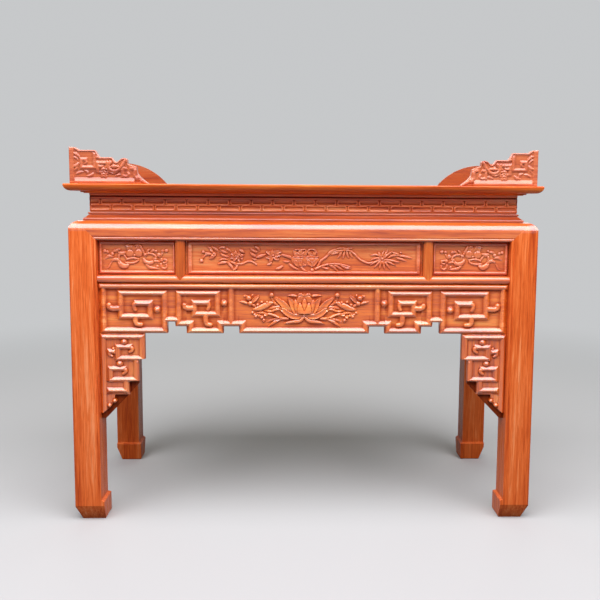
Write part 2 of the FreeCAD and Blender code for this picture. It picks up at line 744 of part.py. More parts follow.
def bracket():
    """Right bracket: stepped face with fret bars, diagonal backing, tongue in the leg."""
    y0 = APRON_SETBACK - body_half_y
    root = (0, 0)
    face = [bracket_corner(root, y0)]
    face += [bracket_corner(point, y0) for point in BRACKET_EDGE_SHARES]
    tip = BRACKET_EDGE_SHARES[-1][1]
    face.append(bracket_corner((0, tip), y0))
    front = prism(face, Vector(0, BRACKET_FACE, 0))
    y1 = y0 + BRACKET_FACE / 2
    back = [bracket_corner(root, y1)]
    back += [bracket_corner(point, y1) for point in BRACKET_BACKING_SHARES]
    back.append(bracket_corner((0, BRACKET_BACKING_SHARES[-1][1]), y1))
    backing = prism(back, Vector(0, APRON_THICKNESS - BRACKET_FACE / 2, 0))
    fret = bars(BRACKET_FRET_SHARES, BRACKET_FRET_WIDTH, bracket_place)
    run = inner_half_x + TONGUE_LENGTH
    lip = tongue(inner_half_x - OVERRUN, run, body_half_y, bracket_tip_z + OVERRUN, bracket_top_z)
    return front.fuse([backing, lip] + fret).removeSplitter()


# Neck and its moulded base
def base_moulding(along, across):
    """Bead and cove under the neck on one side: outer half sizes of the base."""
    face = -across
    z0 = frame_top_z
    rise = z0 + BASE_BEAD_HEIGHT
    neck_face = NECK_INSET - BASE_INSET - across
    cove = Vector(0, face + BASE_FILLET, rise)
    top = Vector(0, neck_face, neck_under_z)
    sag = Vector(0, neck_face - BASE_FILLET, rise + BASE_FILLET)
    section = [
        Vector(0, face + BASE_FILLET / 2, z0),
        (Vector(0, face, z0 + BASE_BEAD_HEIGHT / 2), Vector(0, face + BASE_FILLET / 2, rise)),
        cove,
        (sag, top),
        Vector(0, face + BASE_WIDTH, neck_under_z),
        Vector(0, face + BASE_WIDTH, z0),
    ]
    body = prism(section, Vector(2 * along, 0, 0))
    body.translate(Vector(-along, 0, 0))
    body = mitred(body, along, across, BASE_WIDTH)
    slot_y = neck_face + NECK_TONGUE_SETBACK - JOINT_CLEARANCE
    slot = block(
        -along, along, slot_y, slot_y + TONGUE_THICKNESS + 2 * JOINT_CLEARANCE,
        neck_under_z - groove_depth, neck_under_z + OVERRUN,
    )
    cuts = [slot]
    body_along = along + BASE_INSET - TOP_OVERHANG
    body_across = across + BASE_INSET - TOP_OVERHANG
    for place in base_dowel_places(body_along, body_across):
        reach = 2 * BASE_DOWEL_REACH + BLIND_GAP
        cuts.append(Part.makeCylinder(DOWEL_RADIUS + JOINT_CLEARANCE, reach, place))
    return body.cut(cuts)


def base_dowels():
    """Dowels between the top rails and the neck's base."""
    dowels = []
    for turns, side in enumerate(SIDE_NAMES):
        for place in base_dowel_places(*side_halves(side)):
            dowels.append(turned(Part.makeCylinder(DOWEL_RADIUS, 2 * BASE_DOWEL_REACH, place), turns))
    return Part.makeCompound(dowels)


def neck_board(along, across):
    """Mitred neck board with tongues above and below and a shallow sunk band."""
    face = -across
    body = block(-along, along, face, face + NECK_THICKNESS, neck_under_z, top_under_z)
    y0 = face + NECK_TONGUE_SETBACK
    run = TONGUE_LENGTH
    lip = block(-along, along, y0, y0 + TONGUE_THICKNESS, neck_under_z - run, top_under_z + run)
    band_z = neck_under_z + NECK_BAND_LIFT
    band = block(
        -along - OVERRUN, along + OVERRUN, face - OVERRUN, face + NECK_BAND_SINK,
        band_z, band_z + NECK_BAND_HEIGHT,
    )
    return mitred(body.fuse(lip), along, across, NECK_THICKNESS).cut(band).removeSplitter()


def corner_blocks():
    """Glue blocks in the four inner corners of the neck."""
    x = TOP_WIDTH / 2 - NECK_INSET - NECK_THICKNESS
    y = TOP_DEPTH / 2 - NECK_INSET - NECK_THICKNESS
    corners = [
        Vector(x, y, neck_under_z),
        Vector(x - CORNER_BLOCK, y, neck_under_z),
        Vector(x, y - CORNER_BLOCK, neck_under_z),
    ]
    right = [prism(corners, Vector(0, 0, NECK_HEIGHT))]
    right.append(mirrored_y(right[0]))
    return Part.makeCompound(right + [mirrored_x(piece) for piece in right])


# Framed top
def top_profile(across):
    """Section of a rail of the top's frame: rounded nose, then a small ogee underneath."""
    face = -across
    z1 = TABLE_HEIGHT
    nose_z = z1 - NOSE_HEIGHT
    nose_end = face + NOSE_RUN
    ogee_start = nose_end + OGEE_FLAT
    ogee_end = ogee_start + OGEE_RUN
    ease = NOSE_EASE * ARC_BEND_SHARE
    bend = OGEE_RUN * ARC_BEND_SHARE
    drop = nose_z - top_under_z
    fall = drop * ARC_BEND_SHARE
    return [
        Vector(0, face + TOP_FRAME_WIDTH, z1),
        Vector(0, face + NOSE_EASE, z1),
        (Vector(0, face + ease, z1 - ease), Vector(0, face, z1 - NOSE_EASE)),
        (Vector(0, face + NOSE_RUN * NOSE_BELLY_SHARE, nose_z + NOSE_EASE), Vector(0, nose_end, nose_z)),
        Vector(0, ogee_start, nose_z),
        (Vector(0, ogee_end - bend, nose_z - fall), Vector(0, ogee_end, top_under_z)),
        Vector(0, face + TOP_FRAME_WIDTH, top_under_z),
    ]


def wing_dowel_places():
    """Places of the dowels under the right front wing, right side wing and right back wing."""
    z = TABLE_HEIGHT - WING_DOWEL_REACH
    front_y = WING_THICKNESS / 2 - wing_half_y
    side_x = wing_half_x - WING_THICKNESS / 2
    run = 2 * (wing_half_y - WING_THICKNESS)
    front = [Vector(wing_half_x - share * WING_LENGTH, front_y, z) for share in WING_DOWEL_SHARES]
    back = [Vector(place.x, -front_y, z) for place in front]
    side = [Vector(side_x, share * run - run / 2, z) for share in SIDE_WING_DOWEL_SHARES]
    return front + side + back


def wing_bores(radius, slack):
    """Bores of all wing dowels, both sides."""
    reach = 2 * (WING_DOWEL_REACH + slack)
    right = [
        Part.makeCylinder(radius, reach, place - Vector(0, 0, slack)) for place in wing_dowel_places()
    ]
    return right + [mirrored_x(bore) for bore in right]


def top_frame_rail(along, across, long_rail):
    """Rail of the top's frame, mitred, grooved for the boards and for the neck."""
    body = prism(top_profile(across), Vector(2 * along, 0, 0))
    body.translate(Vector(-along, 0, 0))
    body = mitred(body, along, across, TOP_FRAME_WIDTH)
    inner_y = TOP_FRAME_WIDTH - across
    gap = JOINT_CLEARANCE
    z0 = board_under_z + TOP_TONGUE_LIFT - gap
    z1 = z0 + TOP_TONGUE_THICKNESS + 2 * gap
    reach = TOP_TONGUE + BLIND_GAP
    inner_x = along - TOP_FRAME_WIDTH + reach
    board_groove = block(-inner_x, inner_x, inner_y - reach, inner_y + OVERRUN, z0, z1)
    slot_y = NECK_INSET + NECK_TONGUE_SETBACK - gap - across
    neck_slot = block(
        -along, along, slot_y, slot_y + TONGUE_THICKNESS + 2 * gap,
        top_under_z - OVERRUN, top_under_z + groove_depth,
    )
    cuts = [board_groove, neck_slot]
    if long_rail:
        tenons = [block(*top_tenon_box(side)) for side in (-1, 1)]
        cuts += [loosened(*batten_tenon_box(x)) for x in (-BATTEN_SPACING, 0, BATTEN_SPACING)]
        return body.cut(cuts).fuse(tenons).removeSplitter()
    return body.cut(cuts)


def corner_mortises():
    """Mortises of all four hidden corner tenons of the top's frame."""
    front = [loosened(*top_tenon_box(side)) for side in (-1, 1)]
    return front + [mirrored_y(mortise) for mortise in front]


def top_board(index):
    """One board of the top, from the front: tongue at the back, tongue or groove at the front."""
    pitch = 2 * opening_half_y / TOP_BOARD_COUNT
    gap = JOINT_CLEARANCE
    y0 = index * pitch - opening_half_y
    y1 = y0 + pitch
    half = opening_half_x - gap
    z0 = board_under_z + TOP_TONGUE_LIFT
    z1 = z0 + TOP_TONGUE_THICKNESS
    body = block(-half, half, y0 + gap, y1 - gap, board_under_z, TABLE_HEIGHT)
    reach = TOP_TONGUE
    lips = [
        block(-half - reach, half + reach, y0 + reach + OVERRUN, y1 - OVERRUN, z0, z1),
        block(-half, half, y1 - OVERRUN, y1 + reach, z0, z1),
    ]
    if index == 0:
        lips.append(block(-half, half, y0 - reach, y0 + OVERRUN, z0, z1))
        return body.fuse(lips).removeSplitter()
    slot = block(
        -half - reach - gap, half + reach + gap, y0 - OVERRUN, y0 + reach + BLIND_GAP, z0 - gap, z1 + gap
    )
    return body.fuse(lips).cut(slot).removeSplitter()


def batten(x):
    """Batten under the top's boards with a tenon at each end."""
    half = BATTEN_WIDTH / 2
    z0 = board_under_z - BATTEN_HEIGHT
    gap = JOINT_CLEARANCE
    bar = block(x - half, x + half, gap - opening_half_y, opening_half_y - gap, z0, board_under_z)
    front = block(*batten_tenon_box(x))
    return bar.fuse([front, mirrored_y(front)]).removeSplitter()


def stretcher(x):
    """Cross stretcher between the front and the back middle rail."""
    half = STRETCHER_WIDTH / 2
    reach = body_half_y - MID_RAIL_SETBACK - MID_RAIL_DEPTH
    bar = block(x - half, x + half, -reach, reach, mid_under_z, mid_top_z)
    front = block(*stretcher_tenon_box(x))
    return bar.fuse([front, mirrored_y(front)]).removeSplitter()


# Wings
def front_wing():
    """Right front wing: stepped, scrolled outline, plain stile and moulded ledge in relief."""
    y0 = -wing_half_y
    corners = [Vector(wing_half_x, y0, TABLE_HEIGHT)]
    for along, up in WING_EDGE_SHARES:
        corners.append(Vector(wing_half_x - along * WING_LENGTH, y0, TABLE_HEIGHT + up * WING_HEIGHT))
    board = prism(corners, Vector(0, WING_THICKNESS, 0))
    ledge_end = wing_half_x - WING_LENGTH * WING_EDGE_SHARES[-3][0]
    relief = y0 - WING_LEDGE_RELIEF
    ledge_top = TABLE_HEIGHT + WING_LEDGE_HEIGHT
    ledge = block(ledge_end, wing_half_x, relief, y0 + OVERRUN, TABLE_HEIGHT, ledge_top)
    stile = block(
        wing_half_x - WING_STILE, wing_half_x, relief, y0 + OVERRUN, TABLE_HEIGHT,
        TABLE_HEIGHT + WING_HEIGHT * WING_EDGE_SHARES[1][1],
    )
    mortise = loosened(*fence_tenon_box(wing_half_x - WING_THICKNESS / 2))
    return board.fuse([ledge, stile]).cut([mortise] + wing_bores(DOWEL_RADIUS + JOINT_CLEARANCE, BLIND_GAP))


def back_wing():
    """Right back wing: plain board whose inner end falls in an arc."""
    y0 = wing_half_y - WING_THICKNESS
    crown_x = wing_half_x - FENCE_CROWN
    crown_z = TABLE_HEIGHT + FENCE_HEIGHT
    centre_z = crown_z - FENCE_ARC_RADIUS
    rise = TABLE_HEIGHT - centre_z
    foot = (FENCE_ARC_RADIUS ** 2 - rise ** 2) ** 0.5
    mid = foot / 2
    mid_height = centre_z + (FENCE_ARC_RADIUS ** 2 - mid ** 2) ** 0.5
    corners = [
        Vector(wing_half_x, y0, TABLE_HEIGHT),
        Vector(wing_half_x, y0, crown_z),
        Vector(crown_x, y0, crown_z),
        (Vector(crown_x - mid, y0, mid_height), Vector(crown_x - foot, y0, TABLE_HEIGHT)),
    ]
    board = prism(corners, Vector(0, WING_THICKNESS, 0))
    mortise = mirrored_y(loosened(*fence_tenon_box(wing_half_x - WING_THICKNESS / 2)))
    return board.cut([mortise] + wing_bores(DOWEL_RADIUS + JOINT_CLEARANCE, BLIND_GAP))


def side_wing():
    """Right side wing between the front wing and the back wing."""
    reach = wing_half_y - WING_THICKNESS
    x0 = wing_half_x - WING_THICKNESS
    board = block(x0, wing_half_x, -reach, reach, TABLE_HEIGHT, TABLE_HEIGHT + FENCE_HEIGHT)
    front = block(*fence_tenon_box(x0 + WING_THICKNESS / 2))
    bores = wing_bores(DOWEL_RADIUS + JOINT_CLEARANCE, BLIND_GAP)
    return board.fuse([front, mirrored_y(front)]).cut(bores).removeSplitter()


# Assembly
def pieces():
    """All pieces by node name."""
    made = {}
    front_leg = leg(True)
    back_leg = mirrored_y(leg(False))
    made["leg_front_right"] = front_leg
    made["leg_front_left"] = mirrored_x(front_leg)
    made["leg_back_right"] = back_leg
    made["leg_back_left"] = mirrored_x(back_leg)
    bores = wing_bores(DOWEL_RADIUS + JOINT_CLEARANCE, BLIND_GAP)
    for turns, side in enumerate(SIDE_NAMES):
        along, across = side_halves(side)
        made["top_rail_" + side] = turned(top_rail(along, across, side == "front"), turns)
        made["mid_rail_" + side] = turned(mid_rail(along, across, side), turns)
        top_along = along + TOP_OVERHANG
        top_across = across + TOP_OVERHANG
        base = base_moulding(top_along - BASE_INSET, top_across - BASE_INSET)
        made["neck_base_" + side] = turned(base, turns)
        board = neck_board(top_along - NECK_INSET, top_across - NECK_INSET)
        made["neck_" + side] = turned(board, turns)
        long_rail = side in ("front", "back")
        rail = turned(top_frame_rail(top_along, top_across, long_rail), turns)
        cuts = bores if long_rail else bores + corner_mortises()
        made["top_frame_" + side] = rail.cut(cuts)
        inner = along - LEG_SIZE
        if side != "front":
            made["frieze_panel_" + side] = turned(frieze_panel(-inner, inner, across, side != "back"), turns)
            height = BACK_APRON_HEIGHT if side == "back" else SIDE_APRON_HEIGHT
            made["apron_" + side] = turned(plain_apron(along, across, height), turns)
    edge = MUNTIN_CENTRE + MUNTIN_WIDTH / 2
    outer_panel = frieze_panel(edge, inner_half_x, body_half_y, True)
    made["frieze_panel_front_right"] = outer_panel
    made["frieze_panel_front_left"] = mirrored_x(outer_panel)
    middle = MUNTIN_CENTRE - MUNTIN_WIDTH / 2
    made["frieze_panel_front_centre"] = frieze_panel(-middle, middle, body_half_y, True)
    made["apron_front"] = front_apron()
    for side, sign in (("left", -1), ("right", 1)):
        made["muntin_" + side] = muntin(sign * MUNTIN_CENTRE)
        made["cross_stretcher_" + side] = stretcher(sign * STRETCHER_SPACING / 2)
        made["top_batten_" + side] = batten(sign * BATTEN_SPACING)
    made["top_batten_centre"] = batten(0)
    for name, piece in (
        ("bracket", bracket()),
        ("wing_front", front_wing()),
        ("wing_side", side_wing()),
        ("wing_back", back_wing()),
    ):
        made[name + "_right"] = piece
        made[name + "_left"] = mirrored_x(piece)
    for index, name in enumerate(("front", "middle", "back")):
        made["top_board_" + name] = top_board(index)
    made["neck_corner_blocks"] = corner_blocks()
    made["neck_base_dowels"] = base_dowels()
    made["mid_rail_pegs"] = pegs()
    made["wing_dowels"] = Part.makeCompound(wing_bores(DOWEL_RADIUS, 0))
    return made


os.makedirs("parts", exist_ok=True)
for node, shape in pieces().items():
    shape.exportStep("parts/" + node + ".step")
    print(node, shape.isValid(), len(shape.Solids), round(shape.Volume))
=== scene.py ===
import bmesh
import bpy
import math
import numpy as np
from mathutils import Matrix, Vector


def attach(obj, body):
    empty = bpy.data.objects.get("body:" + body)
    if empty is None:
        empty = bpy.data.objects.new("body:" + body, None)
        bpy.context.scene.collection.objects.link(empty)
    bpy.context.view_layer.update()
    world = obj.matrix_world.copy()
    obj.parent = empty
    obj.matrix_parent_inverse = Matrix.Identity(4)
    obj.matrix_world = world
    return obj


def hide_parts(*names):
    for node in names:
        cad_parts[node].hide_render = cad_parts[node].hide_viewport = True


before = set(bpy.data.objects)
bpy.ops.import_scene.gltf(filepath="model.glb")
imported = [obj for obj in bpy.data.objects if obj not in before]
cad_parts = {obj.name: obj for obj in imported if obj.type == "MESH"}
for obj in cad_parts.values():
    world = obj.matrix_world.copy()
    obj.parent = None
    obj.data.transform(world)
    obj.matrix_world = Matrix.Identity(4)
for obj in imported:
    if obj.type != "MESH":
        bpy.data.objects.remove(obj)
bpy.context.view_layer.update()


# Legs
# Four square posts of red-orange hardwood, each cut from one length with its flared, chamfered
# foot; planed, beaded on the inner edges, and lacquered to a gloss.
def rosewood(name, grain, shift=(0.0, 0.0, 0.0), light=(1.0, 1.0, 1.0), gloss=0.26, coat=1.0,
             lacquer=1.5, haze=0.14, polish=0.5, ridge=None):
    """Lacquered rosewood. Three noises are stretched along the grain axis, by about 12 to 1 for the
    broad figure, 25 to 1 for the streaks and 40 to 1 for the pores. Figure and streaks are added and
    run through the colours of the wood, times the light factors, and the pores darken it. The light
    factors set each piece's tone; on some pieces they are painted shade. Wood with a ridge colour is
    carved: by the "hollow" attribute it takes that colour on its ridges as a painted highlight, and
    darkens with painted shade and loses its gloss in its hollows."""
    material = bpy.data.materials.new(name)
    material.use_nodes = True
    tree = material.node_tree
    tree.nodes.clear()
    link = tree.links.new
    place = tree.nodes.new("ShaderNodeTexCoord")

    def grain_noise(across, along, detail, rough, bend):
        """Noise stretched along the grain axis: features are 1 / across wide and 1 / along long."""
        scale = [across] * 3
        scale["XYZ".index(grain)] = along
        turn = tree.nodes.new("ShaderNodeMapping")
        turn.inputs["Location"].default_value = [a * b for a, b in zip(shift, scale)]
        turn.inputs["Scale"].default_value = scale
        link(place.outputs["Object"], turn.inputs["Vector"])
        noise = tree.nodes.new("ShaderNodeTexNoise")
        noise.inputs["Scale"].default_value = 1.0
        noise.inputs["Detail"].default_value = detail
        noise.inputs["Roughness"].default_value = rough
        noise.inputs["Distortion"].default_value = bend
        link(turn.outputs["Vector"], noise.inputs["Vector"])
        return noise.outputs["Fac"]

    def ramp(source, stops):
        """Colours blended straight between the stops."""
        made = tree.nodes.new("ShaderNodeValToRGB")
        ends = made.color_ramp.elements
        for end, (at, colour) in ((ends[0], stops[0]), (ends[1], stops[-1])):
            end.position = at
            end.color = (*colour, 1.0)
        for at, colour in stops[1:-1]:
            ends.new(at).color = (*colour, 1.0)
        link(source, made.inputs["Fac"])
        return made.outputs["Color"]

    def shaded(share, first, second):
        """First colour multiplied by the second, by a share."""
        made = tree.nodes.new("ShaderNodeMix")
        made.data_type = "RGBA"
        made.blend_type = "MULTIPLY"
        made.inputs["Factor"].default_value = share
        first_colour, second_colour = made.inputs[6], made.inputs[7]
        link(first, first_colour)
        link(second, second_colour)
        return made.outputs[2]

    def worked_out(operation, *terms):
        """Result of a maths node on sockets and plain numbers."""
        made = tree.nodes.new("ShaderNodeMath")
        made.operation = operation
        for socket, term in zip(made.inputs, terms):
            if isinstance(term, float):
                socket.default_value = term
            else:
                link(term, socket)
        return made.outputs[0]

    def spread(source, low, high, first, last):
        """Goes straight from first to last while the source goes from low to high."""
        made = tree.nodes.new("ShaderNodeMapRange")
        ends = {"From Min": low, "From Max": high, "To Min": first, "To Max": last}
        for socket, value in ends.items():
            made.inputs[socket].default_value = value
        link(source, made.inputs["Value"])
        return made.outputs["Result"]

    figure = grain_noise(across=13.0, along=1.1, detail=4.0, rough=0.55, bend=1.2)
    streaks = grain_noise(across=120.0, along=5.0, detail=5.0, rough=0.66, bend=0.5)
    pores = grain_noise(across=620.0, along=15.0, detail=2.0, rough=0.6, bend=0.0)
    whole = worked_out("MULTIPLY_ADD", streaks, 0.55, worked_out("MULTIPLY", figure, 0.45))
    tones = (
        (0.36, (0.40, 0.046, 0.006)), (0.44, (0.58, 0.086, 0.010)), (0.50, (0.69, 0.117, 0.014)),
        (0.56, (0.76, 0.155, 0.024)), (0.64, (0.82, 0.240, 0.056)),
    )
    lit_tones = [(at, [min(1.0, c * k) for c, k in zip(tone, light)]) for at, tone in tones]
    pore_tones = ((0.34, (0.72, 0.60, 0.52)), (0.47, (1.0, 1.0, 1.0)))
    colour = shaded(0.85, ramp(whole, lit_tones), ramp(pores, pore_tones))
    rough = spread(streaks, 0.3, 0.7, gloss + 0.10, gloss - 0.06)
    shader = tree.nodes.new("ShaderNodeBsdfPrincipled")
    shader.inputs["Coat Weight"].default_value = coat
    shader.inputs["Coat Roughness"].default_value = haze
    shader.inputs["Coat IOR"].default_value = lacquer
    shader.inputs["Specular IOR Level"].default_value = polish
    # Carved wood: painted highlight in the ridge colour on the ridges, painted shade in the hollows.
    if ridge:
        attribute = tree.nodes.new("ShaderNodeAttribute")
        attribute.attribute_name = "hollow"
        hollow = attribute.outputs["Fac"]
        painted_highlight_and_shade = (
            (0.0, ridge), (0.20, [1 + 0.4 * (c - 1) for c in ridge]), (0.35, (1.0, 1.0, 1.0)),
            (0.58, (0.62, 0.46, 0.38)), (1.0, (0.30, 0.17, 0.12)),
        )
        colour = shaded(1.0, colour, ramp(hollow, painted_highlight_and_shade))
        rough = worked_out("MAXIMUM", rough, spread(hollow, 0.40, 0.65, 0.0, 0.8))
        link(spread(hollow, 0.38, 0.60, coat, 0.1 * coat), shader.inputs["Coat Weight"])
    link(colour, shader.inputs["Base Color"])
    link(rough, shader.inputs["Roughness"])
    bump = tree.nodes.new("ShaderNodeBump")
    bump.inputs["Strength"].default_value = 0.18
    bump.inputs["Distance"].default_value = 0.0006
    link(pores, bump.inputs["Height"])
    link(bump.outputs["Normal"], shader.inputs["Normal"])
    out = tree.nodes.new("ShaderNodeOutputMaterial")
    link(shader.outputs["BSDF"], out.inputs["Surface"])
    return material


def set_piece(mesh, material, slot, *nodes):
    """Puts a finished mesh on the table, smooth except where faces turn by more than 32 degrees."""
    mesh.materials.clear()
    mesh.materials.append(material)
    mesh.polygons.foreach_set("use_smooth", np.ones(len(mesh.polygons), dtype=bool))
    mesh.set_sharp_from_angle(angle=math.radians(32))
    piece = bpy.data.objects.new(mesh.name, mesh)
    bpy.context.scene.collection.objects.link(piece)
    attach(piece, "root")
    if nodes:
        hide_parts(*nodes)
    return piece


def eased(node, material, slot, ease):
    """A planed piece with its sharp edges eased: triangles of one flat are joined, and each edge that
    turns by more than 30 degrees gets a round of the given width in metres. Shading follows the
    larger faces, so that flats stay flat."""
    work = bmesh.new()
    work.from_mesh(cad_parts[node].data)
    bmesh.ops.remove_doubles(work, verts=work.verts, dist=1e-5)
    flat = math.radians(0.6)
    bmesh.ops.dissolve_limit(work, angle_limit=flat, verts=work.verts, edges=work.edges)
    turns = math.radians(30)
    sharp = [e for e in work.edges if len(e.link_faces) == 2 and e.calc_face_angle(0.0) > turns]
    bmesh.ops.bevel(
        work, geom=sharp, offset=ease, offset_type="OFFSET", segments=2, profile=0.5,
        affect="EDGES", clamp_overlap=True,
    )
    mesh = bpy.data.meshes.new(node + "_eased")
    work.to_mesh(mesh)
    work.free()
    piece = set_piece(mesh, material, slot, node)
    shading = piece.modifiers.new("even_shading", "WEIGHTED_NORMAL")
    shading.keep_sharp = True
    return piece


def give_second_wood(piece, wood, low, high, facing):
    """Gives a second wood to the faces whose middle lies between two heights, in metres, and whose
    normal rises by less than the facing."""
    mesh = piece.data
    mesh.materials.append(wood)
    count = len(mesh.polygons)
    middles, normals = np.empty(3 * count), np.empty(3 * count)
    woods = np.empty(count, dtype=np.int32)
    mesh.polygons.foreach_get("center", middles)
    mesh.polygons.foreach_get("normal", normals)
    mesh.polygons.foreach_get("material_index", woods)
    chosen = (middles[2::3] > low) & (middles[2::3] < high) & (normals[2::3] < facing)
    mesh.polygons.foreach_set("material_index", np.where(chosen, len(mesh.materials) - 1, woods))


# Rounded heads are rubbed and lacquered together with the rails. The chamfers under the feet take a
# darker copy of the leg's wood: painted shade on their downward faces.
rubbed = {"lacquer": 1.85, "haze": 0.18, "polish": 0.2}
foot_shade_share = 0.6
head_low, head_high, every_face = 1.09, 2.0, 2.0
foot_low, foot_high, under_faces = 0.002, 0.056, -0.2
for end, side, shift, light, coat in (
    ("front", "left", (0.0, 0.0, 0.0), (1.16, 1.36, 2.2), 0.12),
    ("front", "right", (3.1, 0.7, 1.9), (1.10, 1.27, 1.9), 0.12),
    # Back legs: lower light factors, painted shade under the table.
    ("back", "left", (1.3, 2.2, 5.0), (0.84, 0.86, 1.1), 0.08),
    ("back", "right", (2.7, 1.1, 8.0), (0.90, 0.98, 1.3), 0.08),
):
    name = end + "_" + side
    shaded_foot_light = [foot_shade_share * c for c in light]
    leg_wood = rosewood("leg_wood_" + name, "Z", shift, light, coat=coat, polish=0.04)
    head_wood = rosewood("leg_head_wood_" + name, "Z", shift, light, **rubbed)
    # Painted shade: a darker copy of the wood for the feet's downward chamfers.
    shaded_foot_wood = rosewood("shaded_foot_wood_" + name, "Z", shift, shaded_foot_light, coat=coat, polish=0.04)
    leg = eased("leg_" + name, leg_wood, "frame_wood", ease=0.002)
    give_second_wood(leg, head_wood, head_low, head_high, every_face)
    give_second_wood(leg, shaded_foot_wood, foot_low, foot_high, under_faces)

# Rails and muntins
# The rounded top rails are mitred over the leg heads; half-round middle rails and muntins frame the
# frieze. All are moulded along the grain, tenoned, pegged and lacquered with the legs.
top_rail_wood = rosewood("rail_wood_long", "X", (0.4, 0.2, 0.6), (0.95, 1.06, 1.1), **rubbed)
mid_rail_wood = rosewood(
    "mid_rail_wood", "X", (0.9, 0.1, 0.3), (1.14, 1.15, 0.75), coat=0.9, lacquer=2.05, haze=0.32, polish=0.1,
)
cross_rail_wood = rosewood("rail_wood_cross", "Y", (0.8, 0.5, 0.1))
muntin_wood = rosewood("muntin_wood", "Z", (4.0, 1.0, 0.3), (0.92, 1.10, 1.15), coat=0.6, polish=0.2)
for side in ("front", "back", "left", "right"):
    long = side in ("front", "back")
    eased("top_rail_" + side, top_rail_wood if long else cross_rail_wood, "frame_wood", ease=0.0012)
    eased("mid_rail_" + side, mid_rail_wood if long else cross_rail_wood, "frame_wood", ease=0.0012)
for side in ("left", "right"):
    eased("muntin_" + side, muntin_wood, "frame_wood", ease=0.001)


# Frieze panels
# Boards of the same wood held in grooves of the rails. The three at the front are sunk inside a
# half-round border and carved by hand with flowers, leaves and knotted ribbons; the others are plain.
def smooth_path(knots, step):
    """Points about a step apart on a curve through the knots. Each run is a cubic whose slope at a
    knot is half the way from the knot before to the knot after."""
    if len(knots) == 1:
        return knots
    length = np.hypot(*np.diff(knots, axis=0).T).sum()
    ends = np.vstack((2 * knots[0] - knots[1], knots, 2 * knots[-1] - knots[-2]))
    along = np.linspace(0, len(knots) - 1 - 1e-9, max(10, int(length / step)))
    first = along.astype(int)
    t = (along - first)[:, None]
    a, b, c, d = (ends[first + k] for k in range(4))
    return b + 0.5 * t * (c - a + t * (2 * a - 5 * b + 4 * c - d + t * (3 * (b - c) + d - a)))


def carve(height, across, up, strokes, cut=1.8):
    """Carves strokes into a height field in millimetres, each lying over the ones before it.

    A stroke is its kind, width and rise, then across and up for each knot of its path. It is the union
    of discs along the path. Their radius is half the width times the sine of the place between the
    stroke's start and end, to the power 0.7, and the rise falls with the radius, by up to 55 in 100.
    With u as distance over radius, a round stroke's height is the rise times f + (1 - f) sqrt(1 - u^2),
    f being the share that stands straight up at the edge. A petal is dished: the rise times
    1 - 0.26 (1 - (u / 0.78)^2) inside u = 0.78, and from there a quarter round down to f. A ball's
    height is the rise times 1 - u^1.7. A leaf has a vein groove down its middle, and a thin groove, cut
    to the given depth, runs around every stroke.
    """
    # For each kind: shares left off the half sine at its start and end, the share f, the vein's depth.
    kinds = {
        "leaf": (0.10, 0.02, 0.25, 0.9), "blade": (0.12, 0.02, 0.2, 0.0), "stem": (0.5, 0.28, 0.1, 0.0),
        "petal": (0.28, 0.08, 0.45, 0.0), "cup": (0.30, 0.10, 0.45, 0.0), "bud": (0.5, 0.5, 0.1, 0.0),
        "ball": (0.5, 0.5, 0.0, 0.0),
    }
    thinnest, vein_width, groove_width, reach = 0.3, 0.9, 1.5, 6
    lip, dip = 0.78, 0.26
    for kind, width, rise, *knots in strokes:
        start, end, firm, vein = kinds[kind]
        path = smooth_path(np.array(knots, float).reshape(-1, 2), 0.12 * width)
        along = np.linspace(0, 1, len(path))
        swelling = np.sin(np.pi * (start + along * (1 - start - end))) ** 0.7
        radius = np.maximum(0.5 * width * swelling, thinnest)
        low, high = path.min(axis=0) - 0.5 * width - reach, path.max(axis=0) + 0.5 * width + reach
        near = (across > low[0]) & (across < high[0]) & (up > low[1]) & (up < high[1])
        gap = np.hypot(across[near][:, None] - path[:, 0], up[near][:, None] - path[:, 1])
        ratio = gap / radius
        closest = ratio.argmin(axis=1)
        u = np.minimum(ratio.min(axis=1), 1)
        edge = np.maximum((gap - radius).min(axis=1), 0)
        swell = rise * (0.45 + 0.55 * radius[closest] / (0.5 * width))
        if kind == "ball":
            crown = swell * (1 - u ** 1.7)
        elif kind == "petal":
            dish = 1 - dip * (1 - (u / lip) ** 2)
            rim = firm + (1 - firm) * np.sqrt(1 - (np.maximum(u - lip, 0) / (1 - lip)) ** 2)
            crown = swell * np.where(u < lip, dish, rim)
        else:
            crown = swell * (firm + (1 - firm) * np.sqrt(1 - u ** 2))
            crown = crown - vein * np.exp(-(gap.min(axis=1) / vein_width) ** 2)
        trimmed = np.maximum(height[near] - cut * np.exp(-(edge / groove_width) ** 2), -cut)
        height[near] = np.where(u < 1, crown, trimmed)


def softened(field, columns, rows):
    """Field averaged over a window of columns and rows, twice: differences of running sums."""
    for axis, reach in ((0, columns), (1, rows)) * 2:
        pads = [(0, 0), (0, 0)]
        pads[axis] = (reach + 1, reach)
        total = np.cumsum(np.pad(field, pads, mode="edge"), axis=axis)
        size = field.shape[axis]
        upper = np.take(total, np.arange(2 * reach + 1, 2 * reach + 1 + size), axis=axis)
        field = (upper - np.take(total, np.arange(size), axis=axis)) / (2 * reach + 1)
    return field


